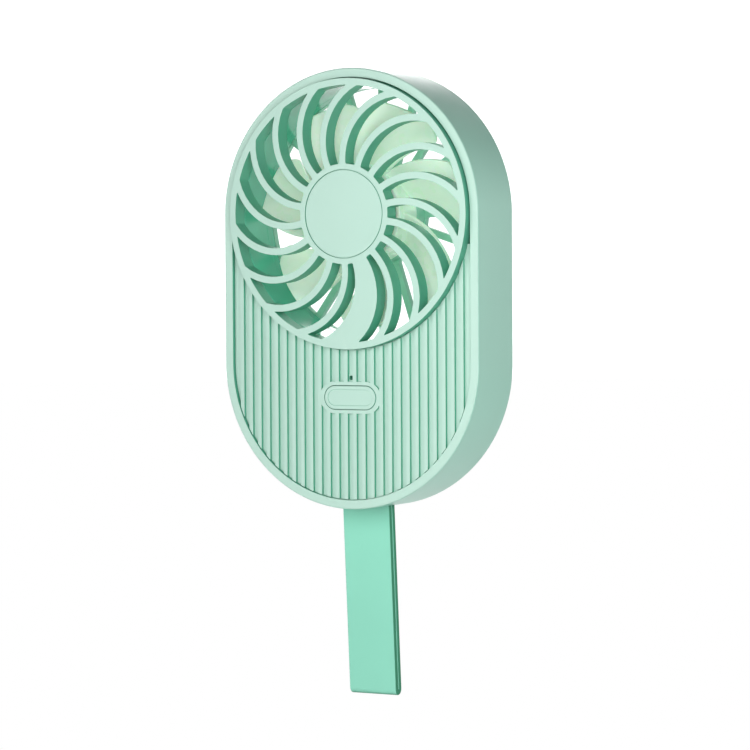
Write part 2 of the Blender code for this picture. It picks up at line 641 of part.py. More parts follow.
def stator_coils(surface):
    """One flat ring of wire round each pole's neck."""
    neck = POLE_NECK + GAP
    low = TUBE_RADIUS + GAP + STATOR_RING + 2 * GAP
    high = math.sqrt((STATOR_RADIUS - POLE_SHOE - 2 * GAP) ** 2 - (neck + COIL_THICKNESS) ** 2)
    front, back = STATOR_FRONT - GAP, STATOR_FRONT + STATOR_THICKNESS + GAP
    for i in range(STATOR_POLES):
        turn = Matrix.Rotation(2 * math.pi * i / STATOR_POLES, 3, "Y")
        loops = []
        for grow, radius in ((0, low), (COIL_THICKNESS, low), (COIL_THICKNESS, high), (0, high)):
            x, f, b = neck + grow, deep(front - grow), deep(back + grow)
            corners = [(-x, f, radius), (x, f, radius), (x, b, radius), (-x, b, radius)]
            loops.append([turn @ Vector(corner) for corner in corners])
        add(f"stator_coil_{i + 1}", swept(loops), surface)


def electronics(surfaces):
    left = -(BODY_RADIUS - SOCKET_INSET) + SOCKET_LENGTH - 0.0013
    board = add("control_board", prism(rectangle(left, BOARD_RIGHT, BOARD_BOTTOM, BOARD_TOP),
                                       BOARD_DEPTH, BOARD_BACK), surfaces["board"])
    places = [(side * BOARD_SCREW_SPACING / 2, BOARD_BOTTOM + BOSS_RADIUS) for side in (-1, 1)]
    shape(board, "DIFFERENCE", gathered(
        disc(BOARD_SCREW_RADIUS + GAP, SEAT_DEPTH, BODY_DEPTH, p, SMALL_STEPS // 2) for p in places))
    for i, place in enumerate(places):
        head = BOARD_BACK + GAP
        tip = SEAT_DEPTH + 2 * GAP
        add(f"board_screw_{i + 1}", screw(BOARD_SCREW_RADIUS, BOARD_SCREW_HEAD, head, tip, place), surfaces["steel"])
    body_back = BOARD_DEPTH - GAP
    half = SWITCH_SIZE / 2
    switch = add("switch_body", block((-half, SWITCH_FRONT, BUTTON_Z - half), (half, body_back, BUTTON_Z + half)),
                 surfaces["black"])
    bore_back = SWITCH_FRONT + BUTTON_TRAVEL + 0.0014
    shape(switch, "DIFFERENCE", disc(PLUNGER_RADIUS + MOVING_GAP, 0, bore_back, (0, BUTTON_Z)))
    lamp_back = BOARD_DEPTH - GAP
    lamp_front = lamp_back - 0.0006
    add("pilot_lamp", block((-LAMP_SIZE, lamp_front, LAMP_Z - LAMP_SIZE / 2),
                            (LAMP_SIZE, lamp_back, LAMP_Z + LAMP_SIZE / 2)), surfaces["lamp"])
    add("light_pipe", disc(LIGHT_PIPE_RADIUS, SEAT_DEPTH + GAP, lamp_front - GAP, (0, LAMP_Z)), surfaces["clear"])
    chip_x = left + 0.0140
    add("charge_chip", block((chip_x - 0.0025, body_back - 0.0010, BUTTON_Z - 0.0020),
                             (chip_x + 0.0025, body_back, BUTTON_Z + 0.0020)), surfaces["black"])


def charge_socket(surface):
    front_x = -(BODY_RADIUS - SOCKET_INSET)
    back_x = front_x + SOCKET_LENGTH
    shell = [[(x, y, z) for y, z in socket_outline(0.0)] for x in (front_x, back_x)]
    socket = add("charge_socket", capped(*shell), surface)
    room = [[(x, y, z) for y, z in socket_outline(-SOCKET_WALL)] for x in (front_x - 0.001, back_x - 0.0010)]
    shape(socket, "DIFFERENCE", capped(*room))
    middle = BOARD_BACK + GAP + SOCKET_HEIGHT / 2
    tongue = 0.00035
    half = SOCKET_WIDTH / 2 - 0.0012
    shape(socket, "UNION", block((front_x + 0.0006, middle - tongue, -ARC_SPACING - half),
                                 (back_x - 0.0006, middle + tongue, -ARC_SPACING + half)))


def battery(surfaces):
    back = COVER_FRONT - 2 * GAP - PAD_THICKNESS
    side = CAVITY_RADIUS - BATTERY_SIDE_ROOM
    top = BOARD_TOP - 0.0005
    bottom = PIN_Z + EYE_RADIUS + STRAP_LAYER + 0.0045
    front = back - BATTERY_THICKNESS
    cell = block((-side, front, bottom), (side, back, top))
    upright = [e for e in cell.edges if abs(e.verts[0].co.z - e.verts[1].co.z) > 1e-6]
    bmesh.ops.bevel(cell, geom=upright, offset=0.0015, segments=3, profile=0.5, affect="EDGES")
    add("battery", cell, surfaces["cell"])
    inset = 0.0030
    add("battery_pad", block((-side + inset, back + GAP, bottom + inset),
                             (side - inset, back + GAP + PAD_THICKNESS, top - inset)), surfaces["foam"])
    lead_x = BOARD_RIGHT - 0.0035
    middle = (front + back) / 2
    near = (BOARD_BACK + front) / 2
    for i, x in enumerate((lead_x - LEAD_SPACING, lead_x)):
        route = [(x, middle, top + 0.0003), (x, middle - 0.0002, top + 0.0012), (x, middle - 0.0012, top + 0.0021),
                 (x, front - 0.0002, top + 0.0022), (x, near + 0.0002, top + 0.0014), (x, near, top),
                 (x, near, top - 0.0012), (x, near - 0.0001, top - 0.0028)]
        add_lead(f"battery_lead_{i + 1}", route, surfaces["red" if i else "black"])


def add_lead(name, route, surface):
    """A thin insulated wire along a smooth curve through its route's points (x, depth, z)."""
    points = [Vector((x, deep(depth), z)) for x, depth, z in route]
    points = [points[0] * 2 - points[1]] + points + [points[-1] * 2 - points[-2]]
    fine = []
    for p, a, b, n in zip(points, points[1:], points[2:], points[3:]):
        for t in (0.0, 0.5):
            fine.append(0.5 * (2 * a + (b - p) * t + (2 * p - 5 * a + 4 * b - n) * t ** 2
                               + (3 * a - p - 3 * b + n) * t ** 3))
    fine.append(points[-2])
    curve = bpy.data.curves.new(name, "CURVE")
    curve.dimensions = "3D"
    curve.bevel_depth = LEAD_RADIUS
    curve.bevel_resolution = 1
    curve.use_fill_caps = True
    spline = curve.splines.new("POLY")
    spline.points.add(len(fine) - 1)
    for point, place in zip(spline.points, fine):
        point.co = (*place, 1.0)
    curve.materials.append(surface)
    made = bpy.data.objects.new(name, curve)
    bpy.context.collection.objects.link(made)


def motor_leads(surfaces):
    """Two wires from the motor board along the back of the wide spoke, then down to the control board."""
    middle = SPOKE_START + 2 * math.pi * WIDE_SPOKE / SPOKES
    depth = LEAD_CHANNEL_DEPTH + GAP + LEAD_RADIUS + 0.0001
    inner = CAP_RADIUS - 0.0006
    radii = spread(inner, DUCT_RADIUS - 0.0033, 7) + [DUCT_RADIUS - 0.0014, DUCT_RADIUS + 0.0002, DUCT_OUTER + 0.0006]
    sinking = [0.0] * 8 + [0.0011, 0.0027, 0.0034]
    for i, side in enumerate((-1, 1)):
        route = []
        for radius, sunk in zip(radii, sinking):
            x, z = on_clock(radius, middle + lead_sweep(radius) + side * LEAD_SPACING / 2 / radius)
            route.append((x, depth + sunk, z))
        x = route[-1][0]
        route.append((x, BOARD_DEPTH - 0.0015, BOARD_TOP - 0.0008))
        route.append((x, BOARD_DEPTH - GAP - LEAD_RADIUS - 0.0002, BOARD_TOP - 0.0024))
        add_lead(f"motor_lead_{i + 1}", route, surfaces["red" if i else "black"])


def button(surfaces, cap_axis, plunger_axis):
    """The cap and the switch plunger are built round their own pivots."""
    front = PANEL_RECESS - BUTTON_PROUD
    cap = prism(pill(BUTTON_LENGTH, BUTTON_HEIGHT), front, FLANGE_FRONT + BUTTON_FLANGE / 2)
    made = add("button_cap", shifted(cap), surfaces["mint"], parent=cap_axis)
    flange = prism(pill(BUTTON_LENGTH + 2 * FLANGE_LIP, BUTTON_HEIGHT + 2 * FLANGE_LIP), FLANGE_FRONT, FLANGE_BACK)
    shape(made, "UNION", flange_in_place(flange))
    plunger = disc(PLUNGER_RADIUS, FLANGE_BACK + GAP, SWITCH_FRONT + 0.0009, (0, 0))
    add("switch_plunger", shifted(plunger), surfaces["ivory"], parent=plunger_axis)


def shifted(bm):
    """Moves a mesh made in depths so that the front rim plane passes its origin."""
    bmesh.ops.translate(bm, vec=(0, BODY_DEPTH, 0), verts=bm.verts)
    return bm


def flange_in_place(bm):
    bmesh.ops.translate(bm, vec=(0, 0, BUTTON_Z), verts=bm.verts)
    return bm


def screw(radius, head_radius, head_face, tip, place):
    """A screw along Y. The head lies behind its face and the shank runs forward to the tip."""
    return turned([(0, head_face + HEAD_THICKNESS), (head_radius * 0.8, head_face + HEAD_THICKNESS),
                   (head_radius, head_face + HEAD_THICKNESS * 0.6), (head_radius, head_face),
                   (radius, head_face), (radius, tip + radius), (0, tip)], place, SMALL_STEPS // 2)


def cover_screws(surface):
    head = COVER_FRONT + COVER_THICKNESS - HEAD_THICKNESS - GAP
    for i, place in enumerate(boss_places()):
        tip = BOSS_FRONT + 0.0020 + GAP
        add(f"cover_screw_{i + 1}", screw(COVER_SCREW_RADIUS, COVER_SCREW_HEAD, head, tip, place), surface)


def strap_half_thickness(below_pin):
    """Half of the strap's thickness at a distance below the pin."""
    closed = STRAP_LAYER + STRAP_LAYER_GAP / 2
    eye = EYE_RADIUS + STRAP_LAYER / 2
    share = max(0.0, 1 - below_pin / EYE_THROAT)
    return closed + (eye - closed) * share


def strap_middle_line():
    """The middle of the strap's layer as (y, z) round the pin: up the front, over the pin and down the back."""
    aside = (STRAP_LAYER + STRAP_LAYER_GAP) / 2
    throat = math.hypot(aside, EYE_THROAT)
    touch = math.atan2(-EYE_THROAT, aside) + math.acos(EYE_RADIUS / throat)
    turns = spread(touch, math.pi - touch, 12)
    eye = [(EYE_RADIUS * math.cos(a), EYE_RADIUS * math.sin(a)) for a in turns]
    bottom = -STRAP_DROP + STRAP_LAYER / 2
    down = spread(-EYE_THROAT, bottom + aside, 6)
    right = [(aside, z) for z in reversed(down)]
    left = [(-aside, z) for z in down]
    fold = [(aside * math.cos(a), bottom + aside + aside * math.sin(a)) for a in spread(math.pi, 2 * math.pi, 6)]
    return right + eye + left + fold[1:-1]


def strap(surface, pin_axis):
    middle = [Vector(point) for point in strap_middle_line()]
    outer, inner = [], []
    for i, point in enumerate(middle):
        along = (middle[(i + 1) % len(middle)] - middle[i - 1]).normalized()
        out = Vector((along.y, -along.x)) * STRAP_LAYER / 2
        outer.append(point + out)
        inner.append(point - out)
    half = STRAP_WIDTH / 2
    turn = Matrix.Rotation(STRAP_TILT, 3, "X")
    loops = []
    for side, x in ((outer, -half), (outer, half), (inner, half), (inner, -half)):
        loops.append([turn @ Vector((x, y, z)) for y, z in side])
    add("strap", swept(loops), surface, parent=pin_axis)


def pin_solid(radius, half_length):
    loops = []
    for x in (-half_length, half_length):
        loops.append([(x, deep(PIN_DEPTH) + y, PIN_Z + z) for y, z in circle(radius, steps=16)])
    return capped(*loops)


def main():
    for old in list(bpy.data.objects):
        bpy.data.objects.remove(old)
    surfaces = {
        "mint": material("mint_plastic", (0.50, 0.79, 0.68), 0.45),
        "side": material("satin_plastic", (0.40, 0.62, 0.54), 0.35),
        "fan": material("pale_plastic", (0.52, 0.78, 0.52), 0.40),
        "teal": material("teal_plastic", (0.10, 0.45, 0.30), 0.45),
        "silicone": material("silicone", (0.32, 0.74, 0.58), 0.60),
        "steel": material("steel", (0.60, 0.61, 0.62), 0.30, 1.0),
        "brass": material("brass", (0.72, 0.55, 0.25), 0.30, 1.0),
        "bronze": material("bronze", (0.55, 0.38, 0.22), 0.45, 1.0),
        "copper": material("copper_wire", (0.70, 0.30, 0.14), 0.35, 1.0),
        "magnet": material("magnet", (0.06, 0.06, 0.07), 0.50),
        "board": material("board", (0.03, 0.20, 0.09), 0.50),
        "black": material("black_plastic", (0.03, 0.03, 0.03), 0.50),
        "ivory": material("ivory_plastic", (0.75, 0.72, 0.62), 0.50),
        "red": material("red_insulation", (0.60, 0.04, 0.03), 0.50),
        "cell": material("cell_wrap", (0.55, 0.57, 0.60), 0.35),
        "foam": material("foam", (0.15, 0.15, 0.16), 0.90),
        "lamp": material("lamp", (0.90, 0.90, 0.80), 0.30),
        "clear": material("clear_plastic", (0.80, 0.90, 0.86), 0.10),
    }
    spin_axis = pivot("spin_axis", (0, 0, 0))
    cap_axis = pivot("cap_axis", (0, deep(0), BUTTON_Z))
    plunger_axis = pivot("plunger_axis", (0, deep(0), BUTTON_Z))
    pin_axis = pivot("pin_axis", (0, deep(PIN_DEPTH), PIN_Z))
    housing(surfaces["side"])
    front_panel(surfaces["mint"])
    front_grille(surfaces["mint"])
    cap = [(0, -HUB_PROUD + CAP_THICKNESS), (0, -HUB_PROUD - CAP_CROWN), (CAP_RADIUS / 2, -HUB_PROUD - CAP_CROWN * 0.75),
           (CAP_RADIUS, -HUB_PROUD), (CAP_RADIUS, -HUB_PROUD + CAP_THICKNESS)]
    add("hub_cap", turned(cap[1:] + cap[:1]), surfaces["mint"])
    duct_ring(surfaces["teal"])
    rear_cover(surfaces["teal"])
    fan_rotor(surfaces["fan"], spin_axis)
    motor(surfaces, spin_axis)
    electronics(surfaces)
    charge_socket(surfaces["steel"])
    battery(surfaces)
    motor_leads(surfaces)
    button(surfaces, cap_axis, plunger_axis)
    cover_screws(surfaces["steel"])
    strap(surfaces["silicone"], pin_axis)
    add("strap_pin", pin_solid(PIN_RADIUS, LUG_START + LUG_WIDTH - GAP), surfaces["steel"])


main()
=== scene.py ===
import math

import bmesh
import bpy
from mathutils import Matrix, Vector


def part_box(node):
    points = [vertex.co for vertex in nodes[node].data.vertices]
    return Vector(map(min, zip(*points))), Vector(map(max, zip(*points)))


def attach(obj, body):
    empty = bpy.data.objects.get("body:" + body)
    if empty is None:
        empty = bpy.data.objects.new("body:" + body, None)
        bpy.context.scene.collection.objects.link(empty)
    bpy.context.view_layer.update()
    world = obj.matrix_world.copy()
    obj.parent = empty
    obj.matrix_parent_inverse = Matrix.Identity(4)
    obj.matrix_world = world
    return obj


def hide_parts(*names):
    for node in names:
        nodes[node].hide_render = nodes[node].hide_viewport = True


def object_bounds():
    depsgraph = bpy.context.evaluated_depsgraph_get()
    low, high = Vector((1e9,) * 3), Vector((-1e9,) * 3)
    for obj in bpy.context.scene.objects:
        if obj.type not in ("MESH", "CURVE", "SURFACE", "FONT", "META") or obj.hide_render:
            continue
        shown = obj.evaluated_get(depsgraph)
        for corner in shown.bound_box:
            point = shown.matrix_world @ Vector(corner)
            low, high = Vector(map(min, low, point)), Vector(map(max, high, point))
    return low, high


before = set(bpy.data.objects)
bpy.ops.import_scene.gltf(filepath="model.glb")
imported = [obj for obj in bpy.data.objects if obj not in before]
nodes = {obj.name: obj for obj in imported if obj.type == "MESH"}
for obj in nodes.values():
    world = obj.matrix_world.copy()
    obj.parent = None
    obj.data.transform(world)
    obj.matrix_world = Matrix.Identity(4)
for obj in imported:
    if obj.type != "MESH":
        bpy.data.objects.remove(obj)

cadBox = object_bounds()
scene = bpy.context.scene
mm = 0.001
past, wellPast = 1 * mm, 2 * mm  # how far a cutting shape reaches beyond what it cuts

# places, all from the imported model
shellLow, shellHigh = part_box("housing")
bodyRadius = shellHigh.x
rimY = shellLow.y  # plane of the front rim
backY = shellHigh.y
drop = shellHigh.z - shellLow.z - 2 * bodyRadius  # from the upper arc's centre down to the lower one
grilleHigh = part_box("front_grille")[1]
grilleRadius = grilleHigh.x
seatY = grilleHigh.y
capLow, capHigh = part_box("hub_cap")
ductLow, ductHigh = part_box("duct_ring")
coverLow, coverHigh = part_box("rear_cover")
rotorLow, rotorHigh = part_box("fan_rotor")
buttonLow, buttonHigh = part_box("button_cap")
socketLow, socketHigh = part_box("charge_socket")
pinLow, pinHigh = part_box("strap_pin")
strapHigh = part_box("strap")[1]
pinPlace = (pinLow + pinHigh) / 2


def middleOf(node):
    low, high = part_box(node)
    return (low + high) / 2


def axisOf(node):  # where a piece's own axis along y stands
    middle = middleOf(node)
    return middle.x, middle.z


# mesh helpers

def vertsOf(geom):
    return [item for item in geom if isinstance(item, bmesh.types.BMVert)]


def edgesOf(geom):
    return [item for item in geom if isinstance(item, bmesh.types.BMEdge)]


def tidied(bm):
    bmesh.ops.remove_doubles(bm, verts=bm.verts, dist=1e-7)
    bmesh.ops.recalc_face_normals(bm, faces=bm.faces)
    return bm


def softened(corners, steps=4):  # (across, along, radius) corners; each one with a radius becomes an arc
    points = []
    for i, (a, b, radius) in enumerate(corners):
        here = Vector((a, b))
        if not radius:
            points.append(tuple(here))
            continue
        back = (Vector(corners[i - 1][:2]) - here).normalized()
        on = (Vector(corners[(i + 1) % len(corners)][:2]) - here).normalized()
        half = back.angle(on) / 2
        centre = here + (back + on).normalized() * radius / math.sin(half)
        first = here + back * radius / math.tan(half) - centre
        last = here + on * radius / math.tan(half) - centre
        for k in range(steps + 1):
            points.append(tuple(centre + first.slerp(last, k / steps).normalized() * radius))
    return points


def sweepOval(profile, steps):  # a closed (radius, y) profile carried round the body's outline
    bm = bmesh.new()
    verts = [bm.verts.new((radius, y, 0)) for radius, y in profile]
    section = verts + [bm.edges.new(pair) for pair in zip(verts, verts[1:] + verts[:1])]
    for centre, slide in ((0, -drop), (-drop, drop)):
        turned = bmesh.ops.spin(bm, geom=section, cent=(0, 0, centre), axis=(0, -1, 0), angle=math.pi,
                                steps=steps)
        grown = bmesh.ops.extrude_edge_only(bm, edges=edgesOf(turned["geom_last"]))["geom"]
        bmesh.ops.translate(bm, vec=(0, 0, slide), verts=vertsOf(grown))
        ends = set(vertsOf(grown))
        section = vertsOf(grown) + [e for e in edgesOf(grown) if ends.issuperset(e.verts)]
    bmesh.ops.remove_doubles(bm, verts=bm.verts, dist=3e-6)
    return tidied(bm)


def ovalPlate(radius, front, back):
    bm = bmesh.new()
    section = [bm.verts.new((radius, front, 0))]
    for centre, slide in ((0, -drop), (-drop, drop)):
        turned = bmesh.ops.spin(bm, geom=section, cent=(0, 0, centre), axis=(0, -1, 0), angle=math.pi,
                                steps=72)
        end = vertsOf(turned["geom_last"])[0]
        moved = bm.verts.new(end.co + Vector((0, 0, slide)))
        bm.edges.new((end, moved))
        section = [moved]
    bmesh.ops.remove_doubles(bm, verts=bm.verts, dist=1e-7)
    bmesh.ops.contextual_create(bm, geom=bm.edges[:])
    return deepened(bm, back - front)


def turnedPiece(profile, centre=(0, 0), steps=96, closed=True):  # (radius, y) profile round an axis along y
    bm = bmesh.new()
    verts = [bm.verts.new((centre[0] + radius, y, centre[1])) for radius, y in profile]
    pairs = list(zip(verts, verts[1:]))
    if closed:
        pairs.append((verts[-1], verts[0]))
    edges = [bm.edges.new(pair) for pair in pairs]
    bmesh.ops.spin(bm, geom=verts + edges, cent=(centre[0], 0, centre[1]), axis=(0, 1, 0),
                   angle=2 * math.pi, steps=steps, use_merge=True)
    return tidied(bm)


def deepened(bm, depth):  # gives flat faces a thickness along y
    grown = bmesh.ops.extrude_face_region(bm, geom=bm.faces[:])["geom"]
    bmesh.ops.translate(bm, vec=(0, depth, 0), verts=vertsOf(grown))
    return tidied(bm)


def outlineBlock(points, front, back, corner=0, corners=()):  # an (x, z) outline, some of its corners rounded
    bm = bmesh.new()
    verts = [bm.verts.new((x, front, z)) for x, z in points]
    bm.faces.new(verts)
    if corner:
        bmesh.ops.bevel(bm, geom=[verts[i] for i in corners], offset=corner, offset_type="OFFSET", segments=4,
                        profile=0.5, affect="VERTICES", material=-1)
    return deepened(bm, back - front)


def roundFace(radius, front, centre, segments):
    bm = bmesh.new()
    placed = Matrix.Translation((centre[0], front, centre[1])) @ Matrix.Rotation(math.pi / 2, 4, "X")
    bmesh.ops.create_circle(bm, cap_ends=True, radius=radius, segments=segments, matrix=placed)
    return bm


def pillBlock(length, height, front, back, centre=(0, 0), segments=48):
    bm = roundFace(height / 2, front, centre, segments)
    bmesh.ops.bisect_plane(bm, geom=bm.verts[:] + bm.edges[:] + bm.faces[:], plane_co=(centre[0], 0, 0),
                           plane_no=(1, 0, 0))
    middle = [e for e in bm.edges if all(abs(v.co.x - centre[0]) < 1e-7 for v in e.verts)]
    bmesh.ops.split_edges(bm, edges=middle)
    reach = (length - height) / 2
    for face in bm.faces:
        side = 1 if face.calc_center_median().x > centre[0] else -1
        bmesh.ops.translate(bm, vec=(side * reach, 0, 0), verts=face.verts)
    ends = [e for e in bm.edges
            if abs(e.verts[0].co.x - e.verts[1].co.x) < 1e-9 and e.calc_length() > height * 0.9]
    bmesh.ops.bridge_loops(bm, edges=ends)
    bmesh.ops.dissolve_faces(bm, faces=bm.faces[:])
    return deepened(bm, back - front)


def cylinder(radius, front, back, centre=(0, 0), segments=48):
    return deepened(roundFace(radius, front, centre, segments), back - front)


def crate(low, high, edge=0, along=None):  # a box between two corners, with its edges along one axis rounded
    bm = bmesh.new()
    low, high = Vector(low), Vector(high)
    placed = Matrix.Translation((low + high) / 2) @ Matrix.Diagonal((*(high - low), 1))
    bmesh.ops.create_cube(bm, size=1, matrix=placed)
    if edge:
        picked = [e for e in bm.edges
                  if along is None or abs((e.verts[0].co - e.verts[1].co).normalized()[along]) > 0.9]
        bmesh.ops.bevel(bm, geom=picked, offset=edge, segments=4, profile=0.5, affect="EDGES", material=-1)
    return tidied(bm)


def together(parts):
    bm = bmesh.new()
    for part in parts:
        mesh = bpy.data.meshes.new("part")
        part.to_mesh(mesh)
        part.free()
        bm.from_mesh(mesh)
        bpy.data.meshes.remove(mesh)
    return bm


def softEdges(bm, picked, width, segments=3):
    bmesh.ops.bevel(bm, geom=picked, offset=width, offset_type="OFFSET", segments=segments, profile=0.5,
                    affect="EDGES", material=-1, clamp_overlap=True)


def sharpAt(bm, y, angle=50):  # the creased edges that lie in one plane
    limit = math.radians(angle)
    return [e for e in bm.edges if len(e.link_faces) == 2 and e.calc_face_angle(0) > limit
            and all(abs(v.co.y - y) < 1e-6 for v in e.verts)]


def linked(name, data):
    thing = bpy.data.objects.new(name, data)
    scene.collection.objects.link(thing)
    return thing


def newPiece(name, bm):
    mesh = bpy.data.meshes.new(name)
    bm.to_mesh(mesh)
    bm.free()
    return linked(name, mesh)


def settle(piece):  # works the modifiers into the mesh
    bpy.context.view_layer.update()
    solid = piece.evaluated_get(bpy.context.evaluated_depsgraph_get())
    mesh = bpy.data.meshes.new_from_object(solid)
    old = piece.data
    piece.modifiers.clear()
    piece.data = mesh
    mesh.name = piece.name
    bpy.data.meshes.remove(old)


def carve(piece, bm, operation="DIFFERENCE"):
    tool = newPiece("tool", bm)
    change = piece.modifiers.new("carve", "BOOLEAN")
    change.operation = operation
    change.solver = "EXACT"
    change.object = tool
    settle(piece)
    toolMesh = tool.data
    bpy.data.objects.remove(tool)
    bpy.data.meshes.remove(toolMesh)


def reworked(piece, work):  # runs bmesh work on a piece's mesh
    bm = bmesh.new()
    bm.from_mesh(piece.data)
    work(bm)
    bmesh.ops.recalc_face_normals(bm, faces=bm.faces)
    bm.to_mesh(piece.data)
    bm.free()


def place(piece, body, finishName, standsFor, angle=35):
    piece.data.materials.clear()
    piece.data.materials.append(finishes[finishName])
    piece.data.shade_smooth()
    piece.data.set_sharp_from_angle(angle=math.radians(angle))
    even = piece.modifiers.new("evenNormals", "WEIGHTED_NORMAL")
    even.keep_sharp = True
    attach(piece, body)
    if standsFor:
        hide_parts(*standsFor)


# finishes

patterns = {
    "smear": 6.0, "rubEdge": (0.51, 0.60), "rubPatch": 700.0, "wallTurn": (0.85, 0.35),
    "wallDepth": (0.8 * mm, 1.4 * mm), "relief": 0.02 * mm,
}


def newGroup(name, inputs, outputs):
    group = bpy.data.node_groups.new(name, "ShaderNodeTree")
    for label, kind, value in inputs:
        socket = group.interface.new_socket(name=label, in_out="INPUT", socket_type=kind)
        if value is not None:
            socket.default_value = value
    for label, kind in outputs:
        group.interface.new_socket(name=label, in_out="OUTPUT", socket_type=kind)
    return group, group.nodes.new("NodeGroupInput"), group.nodes.new("NodeGroupOutput")


def feed(tree, value, socket):  # a number is set on a socket and an output is linked to it
    if isinstance(value, (int, float)):
        socket.default_value = value
    else:
        tree.links.new(value, socket)


def maths(tree, operation, first, second):
    node = tree.nodes.new("ShaderNodeMath")
    node.operation = operation
    feed(tree, first, node.inputs[0])
    feed(tree, second, node.inputs[1])
    return node.outputs[0]


def noise(tree, vector, scale, detail=2.0):
    node = tree.nodes.new("ShaderNodeTexNoise")
    node.inputs["Detail"].default_value = detail
    tree.links.new(vector, node.inputs["Vector"])
    feed(tree, scale, node.inputs["Scale"])
    return node.outputs[0]


def rampOf(tree, value, span, reach=(0.0, 1.0)):  # carries a value from one span over to another
    node = tree.nodes.new("ShaderNodeMapRange")
    node.inputs["From Min"].default_value, node.inputs["From Max"].default_value = span
    node.inputs["To Min"].default_value, node.inputs["To Max"].default_value = reach
    tree.links.new(value, node.inputs["Value"])
    return node.outputs[0]


def mixOf(tree, factor, first, second):
    node = tree.nodes.new("ShaderNodeMix")
    node.data_type = "RGBA"
    tree.links.new(factor, node.inputs["Factor"])
    tree.links.new(first, node.inputs["A"])
    tree.links.new(second, node.inputs["B"])
    return node.outputs["Result"]


def grainGroup():  # the fine eroded texture of a mould, and the slow drift in tone across a moulding
    group, into, out = newGroup(
        "mouldGrain",
        [("Vector", "NodeSocketVector", None), ("Grain Scale", "NodeSocketFloat", 9000.0),
         ("Tone Scale", "NodeSocketFloat", 45.0), ("Tone Range", "NodeSocketFloat", 0.05),
         ("Gloss Range", "NodeSocketFloat", 0.06), ("Roughness", "NodeSocketFloat", 0.4)],
        [("Height", "NodeSocketFloat"), ("Tone", "NodeSocketFloat"), ("Roughness", "NodeSocketFloat")])
    vector = into.outputs["Vector"]
    grain = noise(group, vector, into.outputs["Grain Scale"], 2.0)
    drift = maths(group, "SUBTRACT", noise(group, vector, into.outputs["Tone Scale"], 1.0), 0.5)
    tone = maths(group, "ADD", maths(group, "MULTIPLY", drift, into.outputs["Tone Range"]), 1.0)
    smearScale = maths(group, "MULTIPLY", into.outputs["Tone Scale"], patterns["smear"])
    smear = maths(group, "SUBTRACT", noise(group, vector, smearScale), 0.5)
    change = maths(group, "MULTIPLY", smear, into.outputs["Gloss Range"])
    gloss = maths(group, "ADD", change, into.outputs["Roughness"])
    group.links.new(grain, out.inputs["Height"])
    group.links.new(tone, out.inputs["Tone"])
    group.links.new(gloss, out.inputs["Roughness"])
    return group


def wearGroup():  # edges that handling has rubbed a little paler
    group, into, out = newGroup(
        "edgeRub",
        [("Vector", "NodeSocketVector", None), ("Colour", "NodeSocketColor", (0.5, 0.5, 0.5, 1)),
         ("Rubbed", "NodeSocketColor", (0.8, 0.8, 0.8, 1)), ("Amount", "NodeSocketFloat", 0.3)],
        [("Colour", "NodeSocketColor"), ("Mask", "NodeSocketFloat")])
    shape = group.nodes.new("ShaderNodeNewGeometry")
    edges = rampOf(group, shape.outputs["Pointiness"], patterns["rubEdge"])
    patchy = noise(group, into.outputs["Vector"], patterns["rubPatch"], 3.0)
    mask = maths(group, "MULTIPLY", maths(group, "MULTIPLY", edges, patchy), into.outputs["Amount"])
    mixed = mixOf(group, mask, into.outputs["Colour"], into.outputs["Rubbed"])
    group.links.new(mixed, out.inputs["Colour"])
    group.links.new(mask, out.inputs["Mask"])
    return group


def wallShadeGroup():  # painted shade: faces turned sideways, away from the front and back, take a deeper colour set for each finish
    group, into, out = newGroup(
        "paintedWallShade",
        [("Vector", "NodeSocketVector", None), ("Colour", "NodeSocketColor", (0.5, 0.5, 0.5, 1)),
         ("Shaded", "NodeSocketColor", (0.2, 0.5, 0.4, 1))],
        [("Colour", "NodeSocketColor")])
    shape = group.nodes.new("ShaderNodeNewGeometry")
    parts = group.nodes.new("ShaderNodeSeparateXYZ")
    group.links.new(shape.outputs["Normal"], parts.inputs[0])
    aside = rampOf(group, maths(group, "ABSOLUTE", parts.outputs["Y"], 0), patterns["wallTurn"])
    mixed = mixOf(group, aside, into.outputs["Colour"], into.outputs["Shaded"])
    group.links.new(mixed, out.inputs["Colour"])
    return group


def innerGroup():  # how far inside the oval outline a point lies, 0 at the outer wall and 1 within; it picks the painted shade for walls inside the shell
    group, into, out = newGroup(
        "innerSide", [("Vector", "NodeSocketVector", None)], [("Factor", "NodeSocketFloat")])
    parts = group.nodes.new("ShaderNodeSeparateXYZ")
    group.links.new(into.outputs["Vector"], parts.inputs[0])
    z = parts.outputs["Z"]
    nearest = maths(group, "MAXIMUM", maths(group, "MINIMUM", z, 0.0), -drop)
    off = maths(group, "SUBTRACT", z, nearest)
    across = maths(group, "MULTIPLY", parts.outputs["X"], parts.outputs["X"])
    reach = maths(group, "SQRT", maths(group, "ADD", across, maths(group, "MULTIPLY", off, off)), 0)
    within = rampOf(group, reach, [bodyRadius - depth for depth in patterns["wallDepth"]])
    group.links.new(within, out.inputs["Factor"])
    return group


def lineGroup():  # fine parallel lines: turning marks on metal, turns of wire, copper tracks
    group, into, out = newGroup(
        "fineLines",
        [("Vector", "NodeSocketVector", None), ("Scale", "NodeSocketFloat", 2000.0),
         ("Wander", "NodeSocketFloat", 1.0)],
        [("Height", "NodeSocketFloat")])
    wave = group.nodes.new("ShaderNodeTexWave")
    wave.bands_direction = "Y"
    group.links.new(into.outputs["Vector"], wave.inputs["Vector"])
    group.links.new(into.outputs["Scale"], wave.inputs["Scale"])
    group.links.new(into.outputs["Wander"], wave.inputs["Distortion"])
    group.links.new(wave.outputs["Fac"], out.inputs["Height"])
    return group


groups = {"grain": grainGroup(), "rub": wearGroup(), "walls": wallShadeGroup(), "inner": innerGroup(),
          "lines": lineGroup()}


